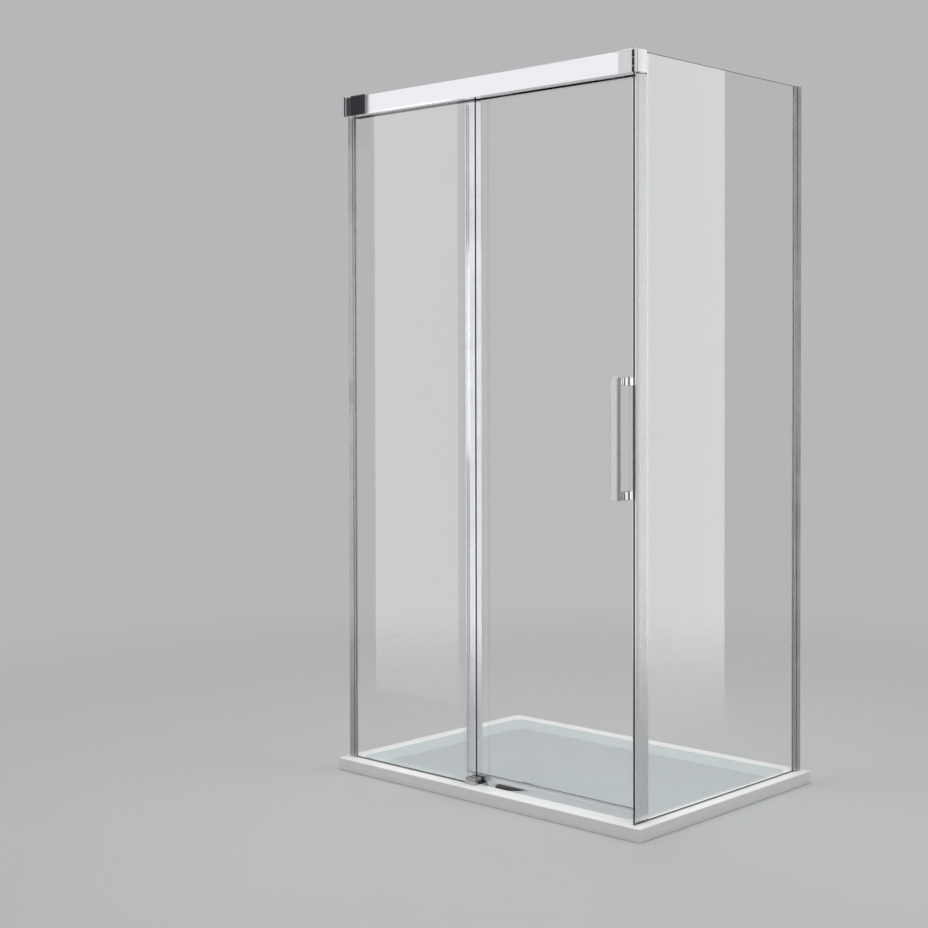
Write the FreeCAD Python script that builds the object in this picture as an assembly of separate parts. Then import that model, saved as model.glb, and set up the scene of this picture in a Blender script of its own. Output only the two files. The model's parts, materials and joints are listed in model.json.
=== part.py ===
import FreeCAD, Part
import math
import os

Vector = FreeCAD.Vector

# Corner shower enclosure with a sliding door, in millimetres.
# The origin is the middle of the tray's underside, +X runs along the front from the wall end
# to the open corner, +Y runs from the front to the back wall, and +Z is up.

# Driving dimensions of the tray
TRAY_WIDTH = 1100.0
TRAY_DEPTH = 800.0
TRAY_HEIGHT = 35.0
TRAY_CORNER_RADIUS = 6.0
TRAY_EDGE_RADIUS = 2.5
RIM_AT_WALLS = 40.0
RIM_AT_FRONT = 83.0
RIM_AT_SIDE = 52.0
RIM_STEP = 2.0
RIM_STEP_RUN = 1.0
COVE_RUN = 60.0
COVE_RUN_AT_FRONT = 14.0
COVE_STEPS = 4
BASIN_DEPTH = 14.0
BASIN_CORNER_RADIUS = 70.0
FLOOR_FALL = 3.0
FALL_MARGIN = 20.0
FALL_CORNER_RADIUS = 40.0

# Driving dimensions of the waste
WASTE_BEHIND_FRONT = 160.0
WASTE_HOLE_RADIUS = 45.0
WASTE_BORE_RADIUS = 40.0
WASTE_RECESS_RADIUS = 60.0
WASTE_RECESS_DEPTH = 8.0
WASTE_FLANGE_THICKNESS = 2.0
WASTE_FLANGE_LAP = 9.0
WASTE_COVER_RADIUS = 55.0
WASTE_COVER_THICKNESS = 1.5
WASTE_COVER_CROWN = 2.0
WASTE_FOOT_HEIGHT = 1.3
WASTE_FOOT_RADIUS = 3.0
WASTE_FOOT_COUNT = 3

# Driving dimensions of the enclosure
ENCLOSURE_HEIGHT = 1930.0
WALL_FINISH = 13.0
GLASS = 6.0
GLASS_ARRIS = 0.7
GLASS_HOLE_ROOM = 2.0
SILL_SEAL = 2.0
SIDE_GLASS_INSET = 30.5
FIXED_GLASS_INSET = 39.5
DOOR_GLASS_INSET = 67.0
FIXED_PANEL_WIDTH = 492.0

# Driving dimensions of the two-part wall profiles
CHANNEL_WALL = 1.5
CHANNEL_GASKET = 1.5
CHANNEL_GASKET_DEPTH = 9.0
WALL_CHANNEL_DEPTH = 18.0
GLAZING_CHANNEL_DEPTH = 18.0
FRONT_PULL_OUT = 5.0
SIDE_PULL_OUT = 12.0
GLASS_EDGE_ROOM = 2.0
WALL_HOLE_RADIUS = 2.5
WALL_HOLE_OUTER_SPACING = 1500.0
WALL_HOLE_INNER_SPACING = 500.0
CHANNEL_SCREW_RADIUS = 1.75
CHANNEL_SCREW_HEAD_RADIUS = 3.5
CHANNEL_SCREW_HEAD = 1.2
CHANNEL_SCREW_FROM_MOUTH = 3.0
CHANNEL_SCREW_FROM_END = 100.0
CHANNEL_CAP = 2.0

# Driving dimensions of the top rail
RAIL_INSET = 21.0
RAIL_HEIGHT = 56.0
RAIL_WALL = 2.5
RAIL_EDGE_RADIUS = 1.5
RAIL_GASKET = 1.0
RAIL_GASKET_HEIGHT = 12.0
RAIL_GROOVE_DEPTH = 25.0
RAIL_GROOVE_ROOM = 2.0
RAIL_BACK_ROOM = 5.5
RAIL_LIP = 2.5
TRACK_RIB_RADIUS = 1.5
TRACK_RIB_HEIGHT = 2.5
TRACK_LIP = 0.5
INFILL_HEIGHT = 7.0
INFILL_END_ROOM = 1.0

# Driving dimensions of the rail's ends
SLEEVE_WALL = 2.5
CORNER_SLEEVE_LENGTH = 42.0
WALL_SLEEVE_LENGTH = 63.0
WALL_SLEEVE_FROM_FLANGE = 22.0
WALL_FLANGE = 6.0
FLANGE_HOLE_RADIUS = 2.75
FLANGE_HOLE_SPACING = 26.0
PLUG_BEYOND_SLEEVE = 20.0
SET_SCREW_RADIUS = 2.5
SET_SCREW_LENGTH = 9.0
CLAMP_CAP_THICKNESS = 10.0
CLAMP_CAP_DEPTH = 38.5
CLAMP_CAP_EDGE_RADIUS = 1.5
CLAMP_GASKET = 1.0
CLAMP_STUD_RADIUS = 4.0
CLAMP_STUD_SPACING = 21.0
CLAMP_STUD_IN_PLUG = 16.0
CLAMP_STUD_IN_CAP = 6.0
CLAMP_NOTCH_ROOM = 1.0

# Driving dimensions of the door's rollers and hangers
ROLLER_RADIUS = 10.0
ROLLER_FLANGE = 2.0
ROLLER_WIDTH = 8.0
ROLLER_GROOVE_ROOM = 0.7
ROLLER_GROOVE_FLARE = 0.8
ROLLER_EDGE = 0.6
ROLLER_HUB_RADIUS = 5.0
ROLLER_WEB_RADIUS = 8.0
ROLLER_WEB_SINK = 1.2
ROLLER_SIDE_GAP = 2.0
ROLLER_TRACK_GAP = 0.3
AXLE_RADIUS = 3.0
AXLE_SHOULDER_RADIUS = 5.0
AXLE_HEAD = 1.2
HANGER_LENGTH = 90.0
HANGER_THICKNESS = 3.0
HANGER_CORNER_RADIUS = 6.0
HANGER_ABOVE_RAIL_BOTTOM = 8.0
HANGER_ABOVE_AXLE = 9.0
HANGER_FROM_GLASS_EDGE = 100.0
HANGER_PAD = 1.0
ROLLER_SPACING = 56.0
HANGER_BOLT_SPACING = 30.0
HANGER_BOLT_BELOW_AXLE = 20.5
HANGER_BOLT_RADIUS = 3.0
HANGER_BOLT_HEAD_RADIUS = 5.0
HANGER_BOLT_HEAD = 2.2
HANGER_CLAMP_THICKNESS = 3.0
HANGER_CLAMP_MARGIN = 8.0
DOOR_GLASS_ABOVE_BOLT = 11.0

# Driving dimensions of the end stops in the rail
DOOR_TRAVEL = 420.0
STOP_LENGTH = 18.0
STOP_ABOVE_AXLE = 6.0
STOP_GAP = 0.5
BUFFER_RADIUS = 4.0
BUFFER_LENGTH = 5.0
STOP_SCREW_RADIUS = 2.0
STOP_SCREW_HEAD_RADIUS = 3.5
STOP_SCREW_HEAD = 2.0

# Driving dimensions of the door's edge profiles
PROFILE_WALL = 2.0
DOOR_BOTTOM_PROFILE_HEIGHT = 16.0
PROFILE_GROOVE_WIDTH = 1.2
PROFILE_GROOVE_DEPTH = 0.6
PROFILE_GROOVE_FROM_EDGE = 3.0
DOOR_BOTTOM_GAP = 10.0
WIPER_BASE = 2.0
WIPER_FIN = 2.0
WIPER_FIN_TIP = 1.0
UPRIGHT_PROFILE_GAP = 2.0
UPRIGHT_TOP_GAP = 4.0
LEADING_PROFILE_WIDTH = 14.0
MAGNET_WIDTH = 11.0
DOOR_MAGNET_DEPTH = 5.0
STRIKE_MAGNET_DEPTH = 4.0
CLOSING_GAP = 1.0
TRAILING_PROFILE_WIDTH = 57.0
TRAILING_LAP = 58.0
TRAILING_BACK_LEG = 24.0
OVERLAP_SEAL_FROM_EDGE = 6.0
OVERLAP_SEAL_WIDTH = 5.0
OVERLAP_HOOK_HEIGHT = 3.0

# Driving dimensions of the strike profile inside the side glass
STRIKE_BASE = 2.0
STRIKE_BASE_WIDTH = 50.0
STRIKE_BOX_WIDTH = 24.0
STRIKE_DEPTH = 10.5
STRIKE_BOX_WALL = 1.8
STRIKE_BEHIND_DOOR = 9.0

# Driving dimensions of the bottom guide
GUIDE_LENGTH = 35.0
GUIDE_PAST_EDGE = 2.0
GUIDE_HEIGHT = 19.0
GUIDE_BEFORE_GLASS = 7.5
GUIDE_PLATE = 1.2
GUIDE_GLASS_ROOM = 0.5
GUIDE_FRONT_PAD = 7.5
GUIDE_BACK_PAD = 2.5
GUIDE_PAD_ROOM = 0.5
GUIDE_FINGER = 4.5
GUIDE_FINGER_HEIGHT = 17.0
GUIDE_SCREW_RADIUS = 2.0
GUIDE_SCREW_HEAD_RADIUS = 3.5
GUIDE_SCREW_HEAD = 2.5
GUIDE_SCREW_FROM_END = 11.0
GUIDE_SCREW_IN_TRAY = 14.0
GUIDE_EDGE_RADIUS = 1.5

# Driving dimensions of the back-to-back handles
HANDLE_HEIGHT = 963.0
HANDLE_LENGTH = 312.0
HANDLE_BAR_WIDTH = 24.0
HANDLE_BAR_DEPTH = 16.0
HANDLE_BAR_RADIUS = 3.0
HANDLE_END_RADIUS = 1.5
HANDLE_FROM_GLASS_EDGE = 38.0
HANDLE_POST_HEIGHT = 22.0
HANDLE_POST_EDGE_RADIUS = 1.5
HANDLE_POST_LENGTH = 29.0
HANDLE_POST_FROM_END = 11.5
HANDLE_WASHER = 1.0
HANDLE_STUD_RADIUS = 4.0
HANDLE_STUD_IN_POST = 14.0

# Clearances
SLIDE_ROOM = 0.2
SEAT_ROOM = 0.05
PLUG_ROOM = 0.3
REST_ROOM = 0.2
WIPER_ROOM = 0.4
SEAL_ROOM = 0.3
AXLE_ROOM = 0.05
AXLE_END_ROOM = 0.2

# Levels
RIM = TRAY_HEIGHT
TOP = TRAY_HEIGHT + ENCLOSURE_HEIGHT
RAIL_BOTTOM = TOP - RAIL_HEIGHT
RAIL_MIDDLE = (TOP + RAIL_BOTTOM) / 2
GLASS_FOOT = RIM + SILL_SEAL
FLOOR = RIM - BASIN_DEPTH - FLOOR_FALL
GROOVE_TOP = RAIL_BOTTOM + RAIL_GROOVE_DEPTH
LEDGE_TOP = GROOVE_TOP
AXLE_LEVEL = LEDGE_TOP + TRACK_RIB_HEIGHT + ROLLER_TRACK_GAP + ROLLER_RADIUS
HANGER_BOLT_LEVEL = AXLE_LEVEL - HANGER_BOLT_BELOW_AXLE
DOOR_GLASS_TOP = HANGER_BOLT_LEVEL + DOOR_GLASS_ABOVE_BOLT
DOOR_PROFILE_FOOT = RIM + DOOR_BOTTOM_GAP
DOOR_GLASS_FOOT = DOOR_PROFILE_FOOT + PROFILE_WALL
DOOR_PROFILE_TOP = DOOR_PROFILE_FOOT + DOOR_BOTTOM_PROFILE_HEIGHT
UPRIGHT_FOOT = DOOR_PROFILE_TOP + UPRIGHT_PROFILE_GAP
UPRIGHT_TOP = RAIL_BOTTOM - UPRIGHT_TOP_GAP
STRIKE_TOP = RAIL_BOTTOM
HANDLE_LEVEL = RIM + HANDLE_HEIGHT

# Planes along Y, from the front to the back
FRONT = -TRAY_DEPTH / 2
BACK_WALL = TRAY_DEPTH / 2 - WALL_FINISH
RAIL_FRONT = FRONT + RAIL_INSET
FIXED_OUTER = FRONT + FIXED_GLASS_INSET
FIXED_INNER = FIXED_OUTER + GLASS
FIXED_MIDDLE = FIXED_OUTER + GLASS / 2
DOOR_OUTER = FRONT + DOOR_GLASS_INSET
DOOR_INNER = DOOR_OUTER + GLASS
DOOR_MIDDLE = DOOR_OUTER + GLASS / 2
GROOVE_FRONT = FIXED_OUTER - RAIL_GASKET
GROOVE_BACK = FIXED_INNER + RAIL_GASKET
CHAMBER_FRONT = RAIL_FRONT + RAIL_WALL
CHAMBER_BACK = GROOVE_FRONT - RAIL_WALL
CHAMBER_MIDDLE = (CHAMBER_FRONT + CHAMBER_BACK) / 2
PARTITION_BACK = GROOVE_BACK + RAIL_WALL
ROLLER_FRONT = PARTITION_BACK + ROLLER_SIDE_GAP
ROLLER_BACK = ROLLER_FRONT + ROLLER_WIDTH
ROLLER_MIDDLE = ROLLER_FRONT + ROLLER_WIDTH / 2
LEDGE_BACK = ROLLER_BACK + TRACK_LIP
HANGER_BACK = DOOR_OUTER - HANGER_PAD
HANGER_FRONT = HANGER_BACK - HANGER_THICKNESS
CLAMP_FRONT = DOOR_INNER + HANGER_PAD
CLAMP_BACK = CLAMP_FRONT + HANGER_CLAMP_THICKNESS
RAIL_BACK_INSIDE = DOOR_INNER + RAIL_BACK_ROOM
RAIL_BACK = RAIL_BACK_INSIDE + RAIL_WALL
WASTE_MIDDLE = FRONT + WASTE_BEHIND_FRONT

# Planes along X, from the wall end to the open corner
LEFT = -TRAY_WIDTH / 2
RIGHT = TRAY_WIDTH / 2
LEFT_WALL = LEFT + WALL_FINISH
SIDE_OUTER = RIGHT - SIDE_GLASS_INSET
SIDE_INNER = SIDE_OUTER - GLASS
SIDE_MIDDLE = SIDE_INNER + GLASS / 2
FIXED_START = LEFT_WALL + FRONT_PULL_OUT + CHANNEL_WALL + GLASS_EDGE_ROOM
FIXED_FREE_EDGE = FIXED_START + FIXED_PANEL_WIDTH
SIDE_GLASS_BACK = BACK_WALL - SIDE_PULL_OUT - CHANNEL_WALL - GLASS_EDGE_ROOM
RAIL_START = LEFT_WALL + WALL_FLANGE
RAIL_END = SIDE_INNER - CLAMP_GASKET
STRIKE_FACE = SIDE_INNER - STRIKE_DEPTH
STRIKE_MAGNET_FACE = STRIKE_FACE - STRIKE_MAGNET_DEPTH
DOOR_MAGNET_FACE = STRIKE_MAGNET_FACE - CLOSING_GAP
LEADING_EDGE = DOOR_MAGNET_FACE - DOOR_MAGNET_DEPTH
DOOR_GLASS_END = LEADING_EDGE - PROFILE_WALL
TRAILING_EDGE = FIXED_FREE_EDGE - TRAILING_LAP
DOOR_GLASS_START = TRAILING_EDGE + PROFILE_WALL
HANGER_LEFT = DOOR_GLASS_START + HANGER_FROM_GLASS_EDGE
HANGER_RIGHT = DOOR_GLASS_END - HANGER_FROM_GLASS_EDGE
ROLLER_PLACES = [
    hanger + side * ROLLER_SPACING / 2
    for hanger in (HANGER_LEFT, HANGER_RIGHT)
    for side in (-1, 1)
]
HANDLE_MIDDLE = DOOR_GLASS_END - HANDLE_FROM_GLASS_EDGE
GUIDE_END = FIXED_FREE_EDGE + GUIDE_PAST_EDGE
GUIDE_START = GUIDE_END - GUIDE_LENGTH

# Widths of the nested channels
GLAZING_INSIDE = GLASS + 2 * CHANNEL_GASKET
GLAZING_OUTSIDE = GLAZING_INSIDE + 2 * CHANNEL_WALL
WALL_CHANNEL_INSIDE = GLAZING_OUTSIDE + 2 * SLIDE_ROOM
WALL_CHANNEL_OUTSIDE = WALL_CHANNEL_INSIDE + 2 * CHANNEL_WALL


# Basic solids

def block(x_range, y_range, z_range):
    size = [end - start for start, end in (x_range, y_range, z_range)]
    return Part.makeBox(size[0], size[1], size[2], Vector(x_range[0], y_range[0], z_range[0]))


def centred(middle, length):
    return (middle - length / 2, middle + length / 2)


def rod(start, direction, radius, length):
    return Part.makeCylinder(radius, length, start, direction)


def face_of(points):
    return Part.Face(Part.makePolygon(points + [points[0]]))


def along_x(section, x_range):
    """Extrude a closed (y, z) outline along X."""
    face = face_of([Vector(x_range[0], y, z) for y, z in section])
    return face.extrude(Vector(x_range[1] - x_range[0], 0, 0))


def along_z(section, z_range):
    """Extrude a closed (x, y) outline along Z."""
    face = face_of([Vector(x, y, z_range[0]) for x, y in section])
    return face.extrude(Vector(0, 0, z_range[1] - z_range[0]))


def turned_about_y(x, z, profile):
    """Revolve a closed (y, radius) outline about a line along Y through (x, z)."""
    face = face_of([Vector(x, y, z + radius) for y, radius in profile])
    return face.revolve(Vector(x, 0, z), Vector(0, 1, 0), 360)


def turned_about_z(x, y, profile):
    """Revolve a closed (radius, z) outline about a line along Z through (x, y)."""
    face = face_of([Vector(x + radius, y, z) for radius, z in profile])
    return face.revolve(Vector(x, y, 0), Vector(0, 0, 1), 360)


def edges_along(shape, direction):
    """Straight edges of a shape that run along a unit direction."""
    chosen = []
    for edge in shape.Edges:
        if len(edge.Vertexes) == 2:
            run = edge.Vertexes[1].Point - edge.Vertexes[0].Point
            if abs(run.dot(direction)) > 0.999 * edge.Length:
                chosen.append(edge)
    return chosen


def rounded_rectangle(x_range, y_range, z, radius):
    """Closed wire of four lines and four quarter arcs, starting at the front left."""
    x0, x1 = x_range
    y0, y1 = y_range
    slant = radius * (1 - math.sqrt(0.5))
    lines = [
        (Vector(x0 + radius, y0, z), Vector(x1 - radius, y0, z)),
        (Vector(x1, y0 + radius, z), Vector(x1, y1 - radius, z)),
        (Vector(x1 - radius, y1, z), Vector(x0 + radius, y1, z)),
        (Vector(x0, y1 - radius, z), Vector(x0, y0 + radius, z)),
    ]
    corners = [
        Vector(x1 - slant, y0 + slant, z),
        Vector(x1 - slant, y1 - slant, z),
        Vector(x0 + slant, y1 - slant, z),
        Vector(x0 + slant, y0 + slant, z),
    ]
    edges = []
    for index, (start, end) in enumerate(lines):
        following = lines[(index + 1) % len(lines)][0]
        edges.append(Part.LineSegment(start, end).toShape())
        edges.append(Part.Arc(end, corners[index], following).toShape())
    return Part.Wire(edges)


# Tray and waste

def basin_outline(share, drop):
    """The basin's outline on its cove: share runs from 0 at the rim to 1 at the floor."""
    run = RIM_STEP_RUN + (COVE_RUN - RIM_STEP_RUN) * share
    front_run = RIM_STEP_RUN + (COVE_RUN_AT_FRONT - RIM_STEP_RUN) * share
    x_range = (LEFT + RIM_AT_WALLS + run, RIGHT - RIM_AT_SIDE - run)
    y_range = (FRONT + RIM_AT_FRONT + front_run, -FRONT - RIM_AT_WALLS - run)
    return rounded_rectangle(x_range, y_range, RIM - drop, BASIN_CORNER_RADIUS)


def make_basin():
    """The space cut from the tray: a small step at the rim and a hollow cove down to the floor."""
    mouth = rounded_rectangle((LEFT + RIM_AT_WALLS, RIGHT - RIM_AT_SIDE),
                              (FRONT + RIM_AT_FRONT, -FRONT - RIM_AT_WALLS), RIM, BASIN_CORNER_RADIUS)
    sections = [mouth]
    for step in range(COVE_STEPS + 1):
        share = step / COVE_STEPS
        drop = RIM_STEP + (BASIN_DEPTH - RIM_STEP) * math.sin(share * math.pi / 2)
        sections.append(basin_outline(share, drop))
    return Part.makeLoft(sections, True, True)


def make_floor_fall():
    """The floor's shallow fall: from the foot of the cove down to the edge of the waste."""
    foot = basin_outline(1, BASIN_DEPTH)
    reach = WASTE_RECESS_RADIUS + FALL_MARGIN
    y_range = (WASTE_MIDDLE - WASTE_RECESS_RADIUS, WASTE_MIDDLE + reach)
    ring = rounded_rectangle(centred(0, 2 * reach), y_range, FLOOR, FALL_CORNER_RADIUS)
    return Part.makeLoft([ring, foot], True, True)


def make_tray():
    body = block((LEFT, RIGHT), (FRONT, -FRONT), (0, RIM))
    body = body.makeFillet(TRAY_CORNER_RADIUS, edges_along(body, Vector(0, 0, 1)))
    top_edges = [edge for edge in body.Edges if min(v.Z for v in edge.Vertexes) > RIM - SEAT_ROOM]
    body = body.makeFillet(TRAY_EDGE_RADIUS, top_edges)
    body = body.cut(make_basin()).cut(make_floor_fall())
    recess = rod(Vector(0, WASTE_MIDDLE, FLOOR - WASTE_RECESS_DEPTH), Vector(0, 0, 1),
                 WASTE_RECESS_RADIUS, WASTE_RECESS_DEPTH + FLOOR_FALL)
    hole = rod(Vector(0, WASTE_MIDDLE, 0), Vector(0, 0, 1), WASTE_HOLE_RADIUS, FLOOR)
    body = body.cut(recess).cut(hole)
    for x in guide_screw_places():
        start = Vector(x, guide_screw_line(), RIM - GUIDE_SCREW_IN_TRAY)
        body = body.cut(rod(start, Vector(0, 0, 1), GUIDE_SCREW_RADIUS + SEAT_ROOM, GUIDE_SCREW_IN_TRAY))
    return body


def make_waste_flange():
    seat = FLOOR - WASTE_RECESS_DEPTH
    top = seat + WASTE_FLANGE_THICKNESS
    outside = WASTE_HOLE_RADIUS - PLUG_ROOM
    lap = WASTE_HOLE_RADIUS + WASTE_FLANGE_LAP
    profile = [(WASTE_BORE_RADIUS, 0), (outside, 0), (outside, seat), (lap, seat), (lap, top),
               (WASTE_BORE_RADIUS, top)]
    return turned_about_z(0, WASTE_MIDDLE, profile)


def make_waste_cover():
    """A low domed disc on feet that stand on the waste flange."""
    foot = FLOOR - WASTE_RECESS_DEPTH + WASTE_FLANGE_THICKNESS + REST_ROOM
    under = foot + WASTE_FOOT_HEIGHT
    height = WASTE_COVER_THICKNESS + WASTE_COVER_CROWN
    middle = Vector(0, WASTE_MIDDLE, 0)
    dome_radius = (WASTE_COVER_RADIUS ** 2 + WASTE_COVER_CROWN ** 2) / (2 * WASTE_COVER_CROWN)
    disc = rod(middle + Vector(0, 0, under), Vector(0, 0, 1), WASTE_COVER_RADIUS, height)
    cover = disc.common(Part.makeSphere(dome_radius, middle + Vector(0, 0, under + height - dome_radius)))
    feet_circle = WASTE_HOLE_RADIUS + WASTE_FLANGE_LAP / 2
    for index in range(WASTE_FOOT_COUNT):
        angle = math.radians(90 + index * 360 / WASTE_FOOT_COUNT)
        start = middle + Vector(feet_circle * math.cos(angle), feet_circle * math.sin(angle), foot)
        cover = cover.fuse(rod(start, Vector(0, 0, 1), WASTE_FOOT_RADIUS, WASTE_FOOT_HEIGHT))
    return cover.removeSplitter()


# Wall profiles: u runs from the wall towards the glass, v runs across the profile

def at_front(u, v):
    return (LEFT_WALL + u, FIXED_MIDDLE + v)


def at_side(u, v):
    return (SIDE_MIDDLE - v, BACK_WALL - u)


def channel_section(place, start, depth, inside, outside):
    legs = [(0, -outside / 2), (depth, -outside / 2), (depth, -inside / 2), (CHANNEL_WALL, -inside / 2),
            (CHANNEL_WALL, inside / 2), (depth, inside / 2), (depth, outside / 2), (0, outside / 2)]
    return [place(start + u, v) for u, v in legs]


def wall_hole_levels(z_range):
    middle = (z_range[0] + z_range[1]) / 2
    return [middle + side * spacing / 2
            for spacing in (WALL_HOLE_OUTER_SPACING, WALL_HOLE_INNER_SPACING) for side in (-1, 1)]


def channel_screw_levels(z_range):
    low = z_range[0] + CHANNEL_SCREW_FROM_END
    high = z_range[1] - CHANNEL_SCREW_FROM_END
    return [low, (low + high) / 2, high]


def point_at(place, u, v, z):
    x, y = place(u, v)
    return Vector(x, y, z)


def direction_of(place, du, dv):
    return point_at(place, du, dv, 0) - point_at(place, 0, 0, 0)


def channel_screw(place, z, radius, extra):
    """A screw shank, or its hole, through the inner legs of both channels."""
    u = WALL_CHANNEL_DEPTH - CHANNEL_SCREW_FROM_MOUTH
    length = WALL_CHANNEL_OUTSIDE / 2 - GLAZING_INSIDE / 2
    start = point_at(place, u, GLAZING_INSIDE / 2, z)
    return rod(start, direction_of(place, 0, 1), radius, length + extra)


def make_channel_screw(place, z):
    head_start = point_at(place, WALL_CHANNEL_DEPTH - CHANNEL_SCREW_FROM_MOUTH, WALL_CHANNEL_OUTSIDE / 2, z)
    head = rod(head_start, direction_of(place, 0, 1), CHANNEL_SCREW_HEAD_RADIUS, CHANNEL_SCREW_HEAD)
    outward = direction_of(place, 0, 1)
    rims = [edge for edge in head.Edges if edge.Closed]
    outer_rim = max(rims, key=lambda edge: edge.CenterOfMass.dot(outward))
    head = head.makeFillet(CHANNEL_SCREW_HEAD / 2, [outer_rim])
    return head.fuse(channel_screw(place, z, CHANNEL_SCREW_RADIUS, 0)).removeSplitter()


def make_wall_profile(place, pull_out, z_range):
    """The wall channel, the glazing channel that slides in it, their gaskets and side screws."""
    outer = along_z(channel_section(place, 0, WALL_CHANNEL_DEPTH, WALL_CHANNEL_INSIDE, WALL_CHANNEL_OUTSIDE),
                    z_range)
    inner = along_z(channel_section(place, pull_out, GLAZING_CHANNEL_DEPTH, GLAZING_INSIDE, GLAZING_OUTSIDE),
                    z_range)
    for z in wall_hole_levels(z_range):
        start = point_at(place, 0, 0, z)
        outer = outer.cut(rod(start, direction_of(place, 1, 0), WALL_HOLE_RADIUS, CHANNEL_WALL))
    levels = channel_screw_levels(z_range)
    for z in levels:
        hole = channel_screw(place, z, CHANNEL_SCREW_RADIUS + SEAT_ROOM, 0)
        outer = outer.cut(hole)
        inner = inner.cut(hole)
    screws = [make_channel_screw(place, z) for z in levels]
    mouth = pull_out + GLAZING_CHANNEL_DEPTH
    gaskets = []
    for side in (-1, 1):
        near = side * GLASS / 2
        far = side * GLAZING_INSIDE / 2
        corners = [(mouth - CHANNEL_GASKET_DEPTH, near), (mouth, near), (mouth, far),
                   (mouth - CHANNEL_GASKET_DEPTH, far)]
        gaskets.append(along_z([place(u, v) for u, v in corners], z_range))
    return outer, inner, gaskets, screws


def make_channel_cap(place, pull_out, z):
    depth = pull_out + GLAZING_CHANNEL_DEPTH
    width = WALL_CHANNEL_OUTSIDE / 2
    bite = pull_out + CHANNEL_WALL + GLASS_EDGE_ROOM
    half_glass = GLASS / 2 + SLIDE_ROOM
    outline = [(0, -width), (depth, -width), (depth, -half_glass), (bite - SLIDE_ROOM, -half_glass),
               (bite - SLIDE_ROOM, half_glass), (depth, half_glass), (depth, width), (0, width)]
    return along_z([place(u, v) for u, v in outline], (z, z + CHANNEL_CAP))


# Glass

def make_pane(x_range, y_range, z_range):
    """A sheet of glass with a polished arris along its edges."""
    pane = block(x_range, y_range, z_range)
    return pane.makeChamfer(GLASS_ARRIS, [edge for edge in pane.Edges if edge.Length > 2 * GLASS])


def make_fixed_glass():
    return make_pane((FIXED_START, FIXED_FREE_EDGE), (FIXED_OUTER, FIXED_INNER),
                     (GLASS_FOOT, GROOVE_TOP - RAIL_GROOVE_ROOM))


def clamp_stud_levels():
    return [RAIL_MIDDLE + side * CLAMP_STUD_SPACING / 2 for side in (-1, 1)]


def notch(x_range, level):
    """A U-notch, open to the front, for one clamp stud."""
    radius = CLAMP_STUD_RADIUS + CLAMP_NOTCH_ROOM
    length = x_range[1] - x_range[0]
    slot = block(x_range, (RAIL_FRONT, CHAMBER_MIDDLE), centred(level, 2 * radius))
    return slot.fuse(rod(Vector(x_range[0], CHAMBER_MIDDLE, level), Vector(1, 0, 0), radius, length))


def make_side_glass():
    glass = make_pane((SIDE_INNER, SIDE_OUTER), (RAIL_FRONT, SIDE_GLASS_BACK), (GLASS_FOOT, TOP))
    for level in clamp_stud_levels():
        glass = glass.cut(notch((SIDE_INNER, SIDE_OUTER), level))
    return glass


def handle_post_levels():
    reach = HANDLE_LENGTH / 2 - HANDLE_POST_FROM_END
    return [HANDLE_LEVEL - reach, HANDLE_LEVEL + reach]


def hanger_bolt_places(hanger):
    return [hanger + side * HANGER_BOLT_SPACING / 2 for side in (-1, 1)]


def make_door_glass():
    glass = make_pane((DOOR_GLASS_START, DOOR_GLASS_END), (DOOR_OUTER, DOOR_INNER),
                      (DOOR_GLASS_FOOT, DOOR_GLASS_TOP))
    for level in handle_post_levels():
        radius = HANDLE_STUD_RADIUS + GLASS_HOLE_ROOM
        glass = glass.cut(rod(Vector(HANDLE_MIDDLE, DOOR_OUTER, level), Vector(0, 1, 0), radius, GLASS))
    for hanger in (HANGER_LEFT, HANGER_RIGHT):
        for x in hanger_bolt_places(hanger):
            radius = HANGER_BOLT_RADIUS + GLASS_HOLE_ROOM
            start = Vector(x, DOOR_OUTER, HANGER_BOLT_LEVEL)
            glass = glass.cut(rod(start, Vector(0, 1, 0), radius, GLASS))
    return glass


def make_sill_seals():
    front_mouth = LEFT_WALL + FRONT_PULL_OUT + GLAZING_CHANNEL_DEPTH
    side_mouth = BACK_WALL - SIDE_PULL_OUT - GLAZING_CHANNEL_DEPTH
    fixed = block((front_mouth, GUIDE_START), (FIXED_OUTER, FIXED_INNER), (RIM, GLASS_FOOT))
    side = block((SIDE_INNER, SIDE_OUTER), (RAIL_FRONT, side_mouth), (RIM, GLASS_FOOT))
    return fixed, side


# Top rail and its ends

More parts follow.
